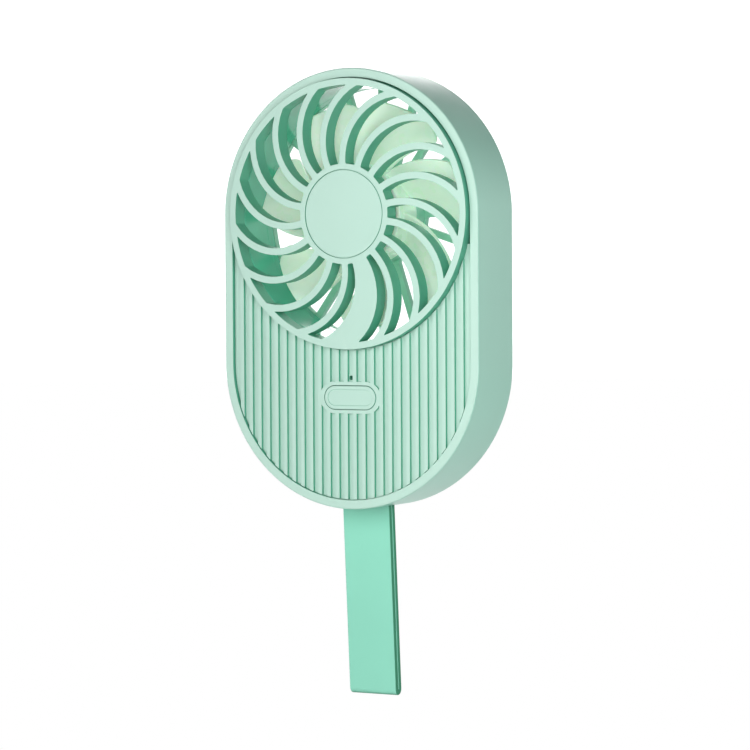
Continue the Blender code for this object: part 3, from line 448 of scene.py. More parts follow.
def useGroup(tree, name, vector, values):
    node = tree.nodes.new("ShaderNodeGroup")
    node.node_tree = groups[name]
    tree.links.new(vector, node.inputs["Vector"])
    for label, value in values.items():
        node.inputs[label].default_value = value
    return node


def makeFinish(colour, roughness, grain=9000.0, bump=0.10, tone=0.05, gloss=0.08, rub=0.25, metal=0.0,
               lines=0.0, wander=1.0, walls=None, inside=None, **constants):
    material = bpy.data.materials.new("finish")
    material.use_nodes = True
    tree = material.node_tree
    shader = tree.nodes["Principled BSDF"]
    shader.inputs["Metallic"].default_value = metal
    for label, value in constants.items():
        shader.inputs[label.replace("_", " ")].default_value = value
    coords = tree.nodes.new("ShaderNodeTexCoord")
    vector = coords.outputs["Object"]
    texture = useGroup(tree, "grain", vector, {"Grain Scale": grain, "Tone Range": tone, "Gloss Range": gloss,
                                               "Roughness": roughness})
    shade = tree.nodes.new("ShaderNodeMix")
    shade.data_type = "RGBA"
    shade.blend_type = "MULTIPLY"
    shade.inputs["Factor"].default_value = 1.0
    shade.inputs["A"].default_value = (*colour, 1)
    # painted shade: sideways-facing walls take the walls colour; with an inside colour, walls within the
    # shell's outline take that one instead
    if walls:
        shadedWalls = useGroup(tree, "walls", vector, {"Colour": (*colour, 1), "Shaded": (*walls, 1)})
        tree.links.new(shadedWalls.outputs["Colour"], shade.inputs["A"])
    if inside:
        pick = tree.nodes.new("ShaderNodeMix")
        pick.data_type = "RGBA"
        pick.inputs["A"].default_value = (*walls, 1)
        pick.inputs["B"].default_value = (*inside, 1)
        tree.links.new(useGroup(tree, "inner", vector, {}).outputs["Factor"], pick.inputs["Factor"])
        tree.links.new(pick.outputs["Result"], shadedWalls.inputs["Shaded"])
    tree.links.new(texture.outputs["Tone"], shade.inputs["B"])
    pale = tuple(part + (1 - part) * 0.5 for part in colour)
    worn = useGroup(tree, "rub", vector, {"Rubbed": (*pale, 1), "Amount": rub})
    tree.links.new(shade.outputs["Result"], worn.inputs["Colour"])
    tree.links.new(worn.outputs["Colour"], shader.inputs["Base Color"])
    tree.links.new(texture.outputs["Roughness"], shader.inputs["Roughness"])
    relief = tree.nodes.new("ShaderNodeBump")
    relief.inputs["Strength"].default_value = bump
    relief.inputs["Distance"].default_value = patterns["relief"]
    height = texture.outputs["Height"]
    if lines:
        marks = useGroup(tree, "lines", vector, {"Scale": lines, "Wander": wander})
        height = maths(tree, "ADD", height, marks.outputs["Height"])
    tree.links.new(height, relief.inputs["Height"])
    tree.links.new(relief.outputs["Normal"], shader.inputs["Normal"])
    return material


mint = (0.48, 0.72, 0.615)
# the darker green painted as shade on walls and in gaps
wallShadeGreen = (0.10, 0.45, 0.30)
finishes = {
    # painted light and shade: the shell's sideways outer walls take a more saturated green, and its walls
    # within the outline the darker painted-shade green
    "mintShell": makeFinish(mint, 0.32, rub=0.15, walls=(0.39, 0.76, 0.615),
                            inside=wallShadeGreen),
    # painted shade: rib, spoke and slot walls take the darker painted-shade green
    "mintFace": makeFinish(mint, 0.45, rub=0.15, walls=wallShadeGreen),
    "tealDuct": makeFinish((0.12, 0.58, 0.40), 0.14, bump=0.05, rub=0.1),
    "coverBack": makeFinish((0.38, 0.75, 0.59), 0.42, rub=0.15),
    # the faint emission is a painted glow; the subsurface is the blades' own translucency
    "paleFan": makeFinish((0.81, 0.98, 0.82), 0.28, rub=0.0, Subsurface_Weight=0.25,
                          Subsurface_Scale=0.002, Emission_Color=(0.76, 1.0, 0.84, 1),
                          Emission_Strength=0.10),
    # painted shade: the strap's sideways-facing edges take a dark green
    "silicone": makeFinish((0.29, 0.74, 0.565), 0.58, grain=5000.0, bump=0.15, rub=0.1,
                           walls=(0.03, 0.28, 0.15), Specular_IOR_Level=0.3),
    "steel": makeFinish((0.60, 0.61, 0.62), 0.28, grain=20000.0, bump=0.05, lines=1500.0,
                        metal=1.0),
    "brass": makeFinish((0.72, 0.55, 0.25), 0.30, lines=2500.0, metal=1.0),
    "bronze": makeFinish((0.55, 0.38, 0.22), 0.45, grain=14000.0, bump=0.3, metal=1.0),
    "gold": makeFinish((0.90, 0.68, 0.28), 0.25, metal=1.0),
    "copperWire": makeFinish((0.70, 0.30, 0.14), 0.32, lines=900.0, bump=1.0, metal=1.0),
    "magnet": makeFinish((0.06, 0.06, 0.07), 0.55, bump=0.3),
    "board": makeFinish((0.03, 0.20, 0.09), 0.35, lines=250.0, wander=6.0, bump=0.3, tone=0.3),
    "blackPlastic": makeFinish((0.03, 0.03, 0.032), 0.45),
    "ivoryPlastic": makeFinish((0.75, 0.72, 0.62), 0.45),
    "redLead": makeFinish((0.60, 0.04, 0.03), 0.45),
    "blackLead": makeFinish((0.03, 0.03, 0.03), 0.45),
    "cellWrap": makeFinish((0.55, 0.57, 0.60), 0.30, tone=0.15, gloss=0.2),
    "foam": makeFinish((0.15, 0.15, 0.16), 0.90, grain=3000.0, bump=1.0, tone=0.3),
    "lamp": makeFinish((0.85, 0.85, 0.70), 0.25),
    "clearPipe": makeFinish((0.80, 0.92, 0.88), 0.12, Transmission_Weight=0.6),
}
for name, material in finishes.items():
    material.name = name
print("finishes made:", len(finishes))

# camera and lights

cameraSetup = {
    "aim": (0, rimY, -0.01935), "distance": 0.8844, "azimuth": 29.66, "elevation": 0.64, "roll": -0.32,
    "lens": 164.8, "sensor": 36, "clipStart": 0.01, "turn": (0.00756, -0.02502),
}


def makeCamera():
    azimuth, elevation, roll = (math.radians(cameraSetup[key])
                                for key in ("azimuth", "elevation", "roll"))
    ahead = Vector((-math.sin(azimuth) * math.cos(elevation), math.cos(azimuth) * math.cos(elevation),
                    -math.sin(elevation)))
    level = Vector((math.cos(azimuth), math.sin(azimuth), 0))
    upright = level.cross(ahead)
    across = level * math.cos(roll) + upright * math.sin(roll)
    up = upright * math.cos(roll) - level * math.sin(roll)
    spot = Vector(cameraSetup["aim"]) - ahead * cameraSetup["distance"]
    right, rise = cameraSetup["turn"]  # the view is framed a little to the side of the aim
    ahead = (ahead + across * right + up * rise).normalized()
    across = (across - ahead * across.dot(ahead)).normalized()
    up = across.cross(ahead)
    lens = bpy.data.cameras.new("camera")
    lens.lens = cameraSetup["lens"]
    lens.sensor_width = cameraSetup["sensor"]
    lens.clip_start = cameraSetup["clipStart"]
    turn = Matrix((across, up, -ahead)).transposed().to_4x4()
    scene.camera = linked("camera", lens)
    scene.camera.matrix_world = Matrix.Translation(spot) @ turn


lights = {
    "keyBox": {"at": (-0.55, -1.0, 0.25), "size": (0.7, 0.9), "watts": 5.9},
    "frontFill": {"at": (0.14, -0.2, 0.0), "size": (0.16, 0.2), "watts": 0.36},
    "backGlow": {"at": (-0.45, 0.9, 0.15), "size": (0.9, 0.56), "watts": 6.0},
}
lightAim = Vector((0, -0.01, -0.02))
world = {"behind": 1.35, "front": 0.33, "sides": (-0.25, 0.35), "above": 0.06, "ceiling": (0.0, 0.5)}
ground = {"radius": 3.0, "below": 0.03, "shade": (0.9, 0.9, 0.9, 1), "roughness": 0.8}


def makeLights():
    for name, setup in lights.items():
        lamp = bpy.data.lights.new(name, "AREA")
        lamp.shape = "RECTANGLE"
        lamp.size, lamp.size_y = setup["size"]
        lamp.energy = setup["watts"]
        made = linked(name, lamp)
        made.location = setup["at"]
        made.visible_camera = False
        made.rotation_euler = (lightAim - made.location).to_track_quat("-Z", "Y").to_euler()


def makeWorld():  # a white room, brightest behind the fan and dim overhead
    surround = bpy.data.worlds.new("studio")
    surround.use_nodes = True
    scene.world = surround
    tree = surround.node_tree
    tree.nodes.clear()
    coords = tree.nodes.new("ShaderNodeTexCoord")
    parts = tree.nodes.new("ShaderNodeSeparateXYZ")
    tree.links.new(coords.outputs["Generated"], parts.inputs[0])
    behind = rampOf(tree, parts.outputs["Y"], world["sides"], (world["front"], world["behind"]))
    ceiling = rampOf(tree, parts.outputs["Z"], world["ceiling"], (1.0, world["above"]))
    level = maths(tree, "MULTIPLY", behind, ceiling)
    seen = tree.nodes.new("ShaderNodeLightPath")
    strength = maths(tree, "MAXIMUM", level, seen.outputs["Is Camera Ray"])
    sky = tree.nodes.new("ShaderNodeBackground")
    sky.inputs["Color"].default_value = (1, 1, 1, 1)
    tree.links.new(strength, sky.inputs["Strength"])
    out = tree.nodes.new("ShaderNodeOutputWorld")
    tree.links.new(sky.outputs[0], out.inputs[0])


def mixShader(tree, factor, first, second):
    node = tree.nodes.new("ShaderNodeMixShader")
    for i, output in enumerate((factor, first, second)):
        tree.links.new(output, node.inputs[i])
    return node.outputs[0]


def makeFloor():
    bm = bmesh.new()
    bmesh.ops.create_circle(bm, cap_ends=True, radius=ground["radius"], segments=96,
                            matrix=Matrix.Translation((0, 0, cadBox[0][2] - ground["below"])))
    floor = newPiece("floor", bm)
    paint = bpy.data.materials.new("floorPaint")
    paint.use_nodes = True
    tree = paint.node_tree
    matt = tree.nodes["Principled BSDF"]
    matt.inputs["Base Color"].default_value = ground["shade"]
    matt.inputs["Roughness"].default_value = ground["roughness"]
    white = tree.nodes.new("ShaderNodeEmission")
    seen = tree.nodes.new("ShaderNodeLightPath")
    bright = maths(tree, "MAXIMUM", seen.outputs["Is Camera Ray"], seen.outputs["Is Glossy Ray"])
    top = mixShader(tree, bright, matt.outputs[0], white.outputs[0])
    clear = tree.nodes.new("ShaderNodeBsdfTransparent")  # from below, the floor can be seen through
    side = tree.nodes.new("ShaderNodeNewGeometry")
    both = mixShader(tree, side.outputs["Backfacing"], top, clear.outputs[0])
    tree.links.new(both, tree.nodes["Material Output"].inputs["Surface"])
    floor.data.materials.append(paint)


makeCamera()
makeLights()
makeWorld()
makeFloor()
scene.view_settings.view_transform = "Standard"
print("camera, lights and floor set")

# body shell

shell = {
    "rimWidth": 2.35 * mm, "wall": 1.6 * mm, "outerEdge": 0.40 * mm, "backEdge": 0.60 * mm,
    "innerEdge": 0.12 * mm, "ledgeFront": 3.1 * mm, "ledgeBack": 4.3 * mm, "ledgeWidth": 1.5 * mm,
    "portGap": 0.3 * mm, "portReach": 1.5 * mm, "cupDepth": 3.8 * mm, "bossGap": 0.3 * mm,
    "bossRadius": 3.0 * mm, "bossFront": 9.0 * mm, "boreRadius": 1.1 * mm, "boreStart": 2.0 * mm,
    "strapSlot": (15.0 * mm, 5.6 * mm), "slotCorner": 0.9 * mm, "lugGap": 0.9 * mm, "lugWidth": 2.2 * mm,
    "lugReach": 2.5 * mm, "lugFoot": 1.7 * mm, "lugEdge": 0.8 * mm, "pinBore": 1.3 * mm,
    "pinReach": 1.5 * mm,
}
rimRadius = bodyRadius - shell["rimWidth"]
cavityRadius = bodyRadius - shell["wall"]
screwNames = [name for name in nodes if name.startswith("cover_screw")]


def makeShell():
    s = shell
    inner = cavityRadius - s["ledgeWidth"]
    ledgeFront, ledgeBack = rimY + s["ledgeFront"], rimY + s["ledgeBack"]
    profile = softened([
        (rimRadius, rimY, s["innerEdge"]), (bodyRadius, rimY, s["outerEdge"]),
        (bodyRadius, backY, s["backEdge"]), (cavityRadius, backY, s["innerEdge"]),
        (cavityRadius, ledgeBack, 0), (inner, ledgeBack, 0), (inner, ledgeFront, 0),
        (rimRadius, ledgeFront, 0)])
    band = newPiece("bodyShell", sweepOval(profile, 96))
    bossFront, bossBack = rimY + s["bossFront"], coverLow.y + s["cupDepth"] - s["bossGap"]
    bosses = [axisOf(name) for name in screwNames]
    carve(band, together(cylinder(s["bossRadius"], bossFront, bossBack, at) for at in bosses), "UNION")
    carve(band, together(cylinder(s["boreRadius"], bossFront + s["boreStart"], backY, at, 24)
                         for at in bosses))
    half = strapHigh.x
    lugs = []
    for side in (-1, 1):
        near, far = side * (half + s["lugGap"]), side * (half + s["lugGap"] + s["lugWidth"])
        lugs.append(crate((min(near, far), pinPlace.y - s["lugReach"], shellLow.z + s["lugFoot"]),
                          (max(near, far), pinPlace.y + s["lugReach"], pinPlace.z + s["lugReach"]),
                          s["lugEdge"], 0))
    carve(band, together(lugs), "UNION")
    bore = cylinder(s["pinBore"], 0, 2 * (pinHigh.x + s["pinReach"]), segments=32)
    bmesh.ops.rotate(bore, cent=(0, 0, 0), matrix=Matrix.Rotation(-math.pi / 2, 3, "Z"), verts=bore.verts)
    bmesh.ops.translate(bore, vec=(-pinHigh.x - s["pinReach"], pinPlace.y, pinPlace.z), verts=bore.verts)
    carve(band, tidied(bore))
    width, thickness = s["strapSlot"]
    carve(band, crate((-width / 2, pinPlace.y - thickness / 2, shellLow.z - wellPast),
                      (width / 2, pinPlace.y + thickness / 2, pinPlace.z), s["slotCorner"], 2))
    carve(band, portBlock(s["portGap"], -bodyRadius - wellPast, -cavityRadius + s["portReach"]))
    place(band, "body", "mintShell", ["housing"])


def portBlock(growth, left, right):  # the charging socket's outline, grown evenly
    middle = (socketLow + socketHigh) / 2
    size = socketHigh - socketLow
    block = pillBlock(size.z + 2 * growth, size.y + 2 * growth, 0, right - left)
    turn = Matrix(((0, 1, 0), (0, 0, 1), (1, 0, 0)))  # x to z, y to x, z to y
    there = Matrix.Translation((left, middle.y, middle.z)) @ turn.to_4x4()
    bmesh.ops.transform(block, matrix=there, verts=block.verts)
    return tidied(block)


makeShell()
print("body shell done")

# ribbed front panel

panel = {
    "recess": 0.25 * mm, "pitch": 2.6 * mm, "valley": 1.4 * mm, "depth": 0.70 * mm, "ribEdge": 0.07 * mm,
    "draft": 0.03 * mm, "gap": 0.3 * mm, "hornWidth": 0.7 * mm, "pad": (18.0 * mm, 8.3 * mm),
    "padEdge": 0.12 * mm, "padFoot": 0.5 * mm, "lampHole": 0.6 * mm, "buttonGap": 0.15 * mm,
    "edgeGap": 0.2 * mm, "flangeLip": 0.6 * mm,
    "skirtGap": 0.04 * mm, "skirtDrop": 0.15 * mm,  # the panel's foot closes its gaps a little way down
    "postWall": 0.6 * mm, "postRoot": 0.5 * mm, "postBore": 1.0 * mm,
}
panelRadius = rimRadius - panel["edgeGap"]
discHole = grilleRadius + panel["gap"]
buttonPlace = (buttonLow + buttonHigh) / 2


def makePanel():
    p = panel
    top = rimY + p["recess"]
    floor = top + p["depth"]
    count = int(panelRadius / p["pitch"])
    half, draft = p["valley"] / 2, p["draft"]
    corners, rounded = [(-bodyRadius, floor)], []
    for i in range(-count, count):
        left, right = i * p["pitch"] + half, (i + 1) * p["pitch"] - half
        rounded += [len(corners) + 1, len(corners) + 2]
        corners += [(left - draft, floor), (left + draft, top), (right - draft, top), (right + draft, floor)]
    corners += [(bodyRadius, floor), (bodyRadius, seatY), (-bodyRadius, seatY)]
    bm = bmesh.new()
    length = bodyRadius + drop + wellPast
    verts = [bm.verts.new((x, y, -length)) for x, y in corners]
    bm.faces.new(verts)
    bmesh.ops.bevel(bm, geom=[verts[i] for i in rounded], offset=p["ribEdge"], offset_type="OFFSET",
                    segments=3, profile=0.5, affect="VERTICES", material=-1)
    grown = bmesh.ops.extrude_face_region(bm, geom=bm.faces[:])["geom"]
    bmesh.ops.translate(bm, vec=(0, 0, length), verts=vertsOf(grown))
    plate = newPiece("ribbedPanel", tidied(bm))
    pad = pillBlock(*p["pad"], top, floor + p["padFoot"], (0, buttonPlace.z), 64)
    softEdges(pad, sharpAt(pad, top), p["padEdge"])
    carve(plate, tidied(pad), "UNION")
    carve(plate, ovalPlate(panelRadius, rimY - past, seatY + past), "INTERSECT")
    carve(plate, ovalPlate(rimRadius - p["skirtGap"], floor + p["skirtDrop"], seatY), "UNION")
    front, back = rimY - wellPast, seatY + wellPast
    carve(plate, cylinder(discHole, front, floor + p["skirtDrop"], segments=192))
    carve(plate, cylinder(grilleRadius + p["skirtGap"], front, back, segments=192))
    hornX = panelRadius - p["hornWidth"]
    hornZ = -math.sqrt(discHole ** 2 - hornX ** 2)
    carve(plate, crate((-bodyRadius, front, hornZ), (bodyRadius, back, bodyRadius)))
    size = buttonHigh - buttonLow
    wider = 2 * (p["buttonGap"] - p["flangeLip"])
    carve(plate, pillBlock(size.x + wider, size.z + wider, rimY - past, seatY + past,
                           (0, buttonPlace.z), 64))
    lampPlace = middleOf("pilot_lamp")
    carve(plate, cylinder(p["lampHole"], rimY - past, seatY + past, (0, lampPlace.z), 32))
    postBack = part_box("control_board")[0].y - p["gap"]
    for name in ("board_screw_1", "board_screw_2"):
        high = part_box(name)[1]
        at = axisOf(name)
        post = cylinder(high.x - at[0] + p["postWall"], seatY - p["postRoot"], postBack, at, 32)
        carve(plate, post, "UNION")
        carve(plate, cylinder(p["postBore"], seatY, high.y, at, 24))
    place(plate, "body", "mintFace", ["front_panel"], angle=40)


makePanel()
print("ribbed panel done")

# outlet grille

grille = {
    "spokes": 18, "start": 18.9, "width": 1.8 * mm, "turnRadius": 24.0 * mm, "turnThere": 7.6,
    "turnAtRing": 24.3, "wideSpoke": 7, "wideAngle": 19.0, "ringWidth": 1.75 * mm, "ringDepth": 4.5 * mm,
    "hubRadius": 12.9 * mm, "capEdge": 1.25 * mm, "flatEnd": 0.4 * mm, "edge": 0.22 * mm,
    "slotCorner": 0.35 * mm, "capGap": 0.3 * mm, "hubFloor": 1.2 * mm, "leadChannel": 1.5 * mm,
    "channelFloor": 0.9 * mm,
}
ductRadius = grilleRadius - grille["ringWidth"]
hubY = capHigh.y - grille["capEdge"]  # front of the hub ring, where the cap's edge lies
ringY = seatY - grille["ringDepth"]
plateDepth = seatY - ringY
wideMiddle = math.radians(grille["start"]) + 2 * math.pi * grille["wideSpoke"] / grille["spokes"]


def onClock(radius, angle):
    return radius * math.sin(angle), radius * math.cos(angle)


def arcThrough(first, second, third):  # the circle through three points
    (ax, az), (bx, bz), (cx, cz) = first, second, third
    area = 2 * (ax * (bz - cz) + bx * (cz - az) + cx * (az - bz))
    a, b, c = (x * x + z * z for x, z in (first, second, third))
    x = (a * (bz - cz) + b * (cz - az) + c * (az - bz)) / area
    z = (a * (cx - bx) + b * (ax - cx) + c * (bx - ax)) / area
    return math.hypot(x, z), math.atan2(x, z), math.hypot(ax - x, az - z)


spokeArc = arcThrough(onClock(grille["hubRadius"], 0),
                      onClock(grille["turnRadius"], math.radians(grille["turnThere"])),
                      onClock(ductRadius, math.radians(grille["turnAtRing"])))


def turnAt(radius, aside=0.0):  # how far a spoke has turned at a radius
    distance, angle, bend = spokeArc
    bend -= aside
    share = (radius ** 2 + distance ** 2 - bend ** 2) / (2 * radius * distance)
    return angle - math.acos(max(-1.0, min(1.0, share)))


def spokeSide(spoke, side, radius):
    base = math.radians(grille["start"]) + 2 * math.pi * spoke / grille["spokes"]
    if spoke % grille["spokes"] == grille["wideSpoke"]:
        return base + turnAt(radius) + side * math.radians(grille["wideAngle"]) / 2
    return base + turnAt(radius, side * grille["width"] / 2)


def spread(first, last, steps):
    return [first + (last - first) * i / steps for i in range(steps + 1)]


def slotBlock(spoke):
    steps = 14
    radii = spread(grille["hubRadius"], ductRadius, steps)
    points = [onClock(r, spokeSide(spoke, 1, r)) for r in radii]
    rim = spread(spokeSide(spoke, 1, ductRadius), spokeSide(spoke + 1, -1, ductRadius), 6)
    points += [onClock(ductRadius, a) for a in rim[1:-1]]
    farSide = len(points)
    points += [onClock(r, spokeSide(spoke + 1, -1, r)) for r in reversed(radii)]
    hub = spread(spokeSide(spoke + 1, -1, grille["hubRadius"]), spokeSide(spoke, 1, grille["hubRadius"]), 3)
    points += [onClock(grille["hubRadius"], a) for a in hub[1:-1]]
    corners = (0, steps, farSide, farSide + steps)
    return outlineBlock(points, -past, plateDepth + past, grille["slotCorner"], corners)


def domed(radius):  # y of the grille's front at a radius
    inner, outer = grille["hubRadius"] - grille["flatEnd"], ductRadius + grille["flatEnd"]
    share = max(0.0, min(1.0, (radius - inner) / (outer - inner)))
    return hubY + (ringY - hubY) * share


def makeGrille():
    g = grille
    plate = newPiece("swirlGrille", cylinder(grilleRadius, 0, plateDepth, segments=216))
    carve(plate, together(slotBlock(k) for k in range(g["spokes"])))
    recess = capHigh.x + g["capGap"] / 2
    floorFront = capHigh.y + g["capGap"] - hubY
    carve(plate, cylinder(recess, -past, floorFront, segments=120))
    carve(plate, cylinder(recess, floorFront + g["hubFloor"], plateDepth + past, segments=120))

    def roundAndDome(bm):
        bmesh.ops.remove_doubles(bm, verts=bm.verts, dist=1e-7)
        softEdges(bm, sharpAt(bm, 0), g["edge"])
        softEdges(bm, sharpAt(bm, plateDepth), g["edge"] / 2, 2)
        bmesh.ops.triangulate(bm, faces=[f for f in bm.faces if len(f.verts) > 4])
        for vert in bm.verts:
            vert.co.y += domed(math.hypot(vert.co.x, vert.co.z))

    reworked(plate, roundAndDome)
    radii = spread(capHigh.x - past, grilleRadius + past / 2, 16)
    sides = []
    for side in (-1, 1):
        turns = [wideMiddle + turnAt(max(g["hubRadius"], min(r, ductRadius))) for r in radii]
        sides.append([onClock(r, turn + side * g["leadChannel"] / r) for r, turn in zip(radii, turns)])
    carve(plate, outlineBlock(sides[0] + sides[1][::-1], rimY + g["channelFloor"], seatY + wellPast))
    place(plate, "body", "mintFace", ["front_grille"], angle=40)


makeGrille()
print("grille done")

# hub cap and button

cap = {"crown": 0.2 * mm, "crownWidth": 0.94, "crownStep": 0.02 * mm, "edge": 0.18 * mm,
       "grooveDepth": 0.4 * mm, "skirt": 0.12 * mm}


def makeCap():
    radius = capHigh.x
    front = capLow.y
    rim = front + cap["crown"]
    shares = spread(0, cap["crownWidth"], 8)
    crown = [(radius * share, front + cap["crown"] * share ** 2) for share in shares]
    edge = softened([(radius * cap["crownWidth"], rim, 0), (radius, rim + cap["crownStep"], cap["edge"]),
                     (radius, capHigh.y, 0)])
    step, wide = rim + cap["grooveDepth"], radius + cap["skirt"]
    foot = [(radius, step), (wide, step), (wide, capHigh.y), (0, capHigh.y)]
    disc = newPiece("hubCap", turnedPiece(crown + edge[1:-1] + foot, steps=120, closed=False))
    place(disc, "body", "mintFace", ["hub_cap"])


button = {"edge": 0.22 * mm, "rimWidth": 0.95 * mm, "dish": 0.14 * mm, "slope": 0.10 * mm,
          "root": 0.2 * mm, "crease": 1.2}


def makeButton():
    lip = panel["flangeLip"]
    size = buttonHigh - buttonLow
    front = buttonLow.y
    flangeFront = seatY + panel["gap"]
    at = (0, buttonPlace.z)
    body = pillBlock(size.x - 2 * lip, size.z - 2 * lip, front, flangeFront + button["root"], at, 64)
    face = min(body.faces, key=lambda f: f.calc_center_median().y)
    bmesh.ops.inset_region(body, faces=[face], thickness=button["rimWidth"], use_even_offset=True)
    bmesh.ops.inset_region(body, faces=[face], thickness=button["slope"], depth=0, use_even_offset=True)
    bmesh.ops.translate(body, vec=(0, button["dish"], 0), verts=face.verts)
    outer = [e for e in body.edges if len(e.link_faces) == 2 and e.calc_face_angle(0) > button["crease"]
             and all(abs(v.co.y - front) < 1e-7 for v in e.verts)]
    softEdges(body, outer, button["edge"], 4)
    key = newPiece("powerButton", tidied(body))
    carve(key, pillBlock(size.x, size.z, flangeFront, buttonHigh.y, at, 64), "UNION")
    place(key, "button", "mintFace", ["button_cap"])


makeCap()
makeButton()
print("hub cap and button done")

# duct and rear cover

duct = {"seam": 14.1 * mm, "seamWidth": 0.25 * mm, "seamDepth": 0.15 * mm, "edge": 0.2 * mm,
        "leadNotch": (4.2 * mm, 5.8 * mm), "notchDepth": 3.0 * mm}
cover = {"bars": 20, "barWidth": 1.8 * mm, "barStart": 0.3 * mm, "thickness": 2.0 * mm, "edge": 0.25 * mm,
         "slotCorner": 0.5 * mm, "cupWall": 1.1 * mm, "cupEdge": 0.25 * mm, "cupRoot": 0.8 * mm,
         "headHeight": 0.8 * mm, "headGap": 0.3 * mm, "boreRadius": 1.1 * mm, "chamfer": 0.2 * mm}


def makeDuct():
    inner, outer = ductRadius, ductHigh.x
    front, back = ductLow.y, ductHigh.y
    seam = rimY + duct["seam"]
    halfSeam = duct["seamWidth"] / 2
    profile = softened([
        (outer, front, 0), (outer, back, 0), (inner, back, duct["edge"]), (inner, seam + halfSeam, 0),
        (inner + duct["seamDepth"], seam, 0), (inner, seam - halfSeam, 0), (inner, front, duct["edge"])])
    tube = newPiece("ductRing", turnedPiece(profile, steps=180))
    x = outer * math.sin(wideMiddle + turnAt(ductRadius))
    width, back = duct["leadNotch"]
    carve(tube, crate((x - width / 2, rimY, -outer - past),
                      (x + width / 2, rimY + back, -inner + duct["notchDepth"])))
    place(tube, "body", "tealDuct", ["duct_ring"])


def barSlot(i):
    inner = grille["hubRadius"] + cover["barStart"]
    first, last = 2 * math.pi * i / cover["bars"], 2 * math.pi * (i + 1) / cover["bars"]
    points = []
    for radius, steps in ((inner, 3), (ductRadius, 8)):
        aside = math.asin(cover["barWidth"] / 2 / radius)
        angles = spread(first + aside, last - aside, steps)
        row = [(radius * math.cos(t), radius * math.sin(t)) for t in angles]
        points += row if radius == inner else row[::-1]
    front, back = coverHigh.y - cover["thickness"] - past, coverHigh.y + past
    return outlineBlock(points, front, back, cover["slotCorner"], (0, 3, 4, 12))


def makeCover():
    c = cover
    front, back = coverHigh.y - c["thickness"], coverHigh.y
    plate = newPiece("rearCover", ovalPlate(coverHigh.x, front, back))
    carve(plate, together(barSlot(i) for i in range(c["bars"])))

    def roundEdges(bm):
        bmesh.ops.remove_doubles(bm, verts=bm.verts, dist=1e-7)
        softEdges(bm, sharpAt(bm, back), c["edge"])
        softEdges(bm, sharpAt(bm, front), c["edge"] / 2, 2)

    reworked(plate, roundEdges)
    radius = grille["hubRadius"]
    bore, root = radius - c["cupWall"], front + c["cupRoot"]
    cup = softened([(radius, coverLow.y, c["cupEdge"]), (radius, root, 0), (bore, root, 0),
                    (bore, coverLow.y, c["cupEdge"])])
    carve(plate, turnedPiece(cup, steps=120), "UNION")
    for name in screwNames:
        low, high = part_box(name)
        at = axisOf(name)
        head = (high.x - low.x) / 2 + c["headGap"]
        seat = high.y - c["headHeight"] - c["headGap"]
        counterbore = [(0, front - past), (c["boreRadius"], front - past), (c["boreRadius"], seat),
                       (head, seat), (head, back - c["chamfer"]),
                       (head + 2 * c["chamfer"], back + c["chamfer"]), (0, back + c["chamfer"])]
        carve(plate, turnedPiece(counterbore, at, 48, closed=False))
    place(plate, "body", "coverBack", ["rear_cover"], angle=40)


makeDuct()
makeCover()
print("duct and rear cover done")

# cover screws

screw = {"headHeight": 0.8 * mm, "crown": 0.25 * mm, "crownShape": ((0.5, 0.2), (0.82, 1), (1, 2)),
         "edge": 0.12 * mm, "cross": (2.0 * mm, 0.42 * mm), "crossDepth": 0.5 * mm, "crossEdge": 0.1 * mm,
         "shank": 0.8 * mm, "plain": 0.4 * mm, "pitch": 0.6 * mm, "thread": 0.12 * mm}


def makeScrew(name, turn):
    low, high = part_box(name)
    at = axisOf(name)
    head = (high.x - low.x) / 2
    shank = screw["shank"]
    seat = high.y - screw["headHeight"]
    profile = [(0, high.y)]
    profile += [(head * share, high.y - screw["crown"] * fall) for share, fall in screw["crownShape"]]
    profile += [(head, seat + screw["edge"]), (head - screw["edge"], seat), (shank, seat)]
    y = seat - screw["plain"]
    while y > low.y + shank + screw["pitch"]:
        profile += [(shank, y), (shank - screw["thread"], y - screw["pitch"] / 2)]
        y -= screw["pitch"]
    profile += [(shank, low.y + shank), (0, low.y)]
    piece = newPiece("coverScrew" + name[-1], turnedPiece(profile, at, 48, closed=False))
    length, width = screw["cross"]
    top, bottom = high.y + screw["crossEdge"], high.y - screw["crossDepth"]
    for quarter in (0, 1):
        block = crate((-length / 2, bottom, -width / 2), (length / 2, top, width / 2), screw["crossEdge"], 1)
        spin = Matrix.Rotation(turn + quarter * math.pi / 2, 4, "Y")
        bmesh.ops.transform(block, matrix=Matrix.Translation((at[0], 0, at[1])) @ spin, verts=block.verts)
        carve(piece, block)
    place(piece, "body", "steel", [name])


for i, name in enumerate(sorted(screwNames)):
    makeScrew(name, 0.4 + 0.9 * i)
print("screws done")

# fan

fan = {
    "blades": 7, "start": 36.3, "span": 40.0, "corner": 14.0, "cornerStart": 0.75, "sweep": 27.5,
    "front": 5.5 * mm, "back": 12.5 * mm, "tip": 29.5 * mm, "thickness": 1.0 * mm, "hubWall": 1.1 * mm,
    "hubEdge": 0.35 * mm, "boreEdge": 0.1 * mm, "webEdge": 0.2 * mm, "bladeEdge": 0.28 * mm,
}


def thicken(piece, thickness, edge, angle, even=False):  # gives a sheet its walls, with soft edges
    thick = piece.modifiers.new("thick", "SOLIDIFY")
    thick.thickness = thickness
    thick.offset = 0
    thick.use_even_offset = even
    soft = piece.modifiers.new("soft", "BEVEL")
    soft.width = edge
    soft.segments = 3
    soft.limit_method = "ANGLE"
    soft.angle_limit = math.radians(angle)
    settle(piece)


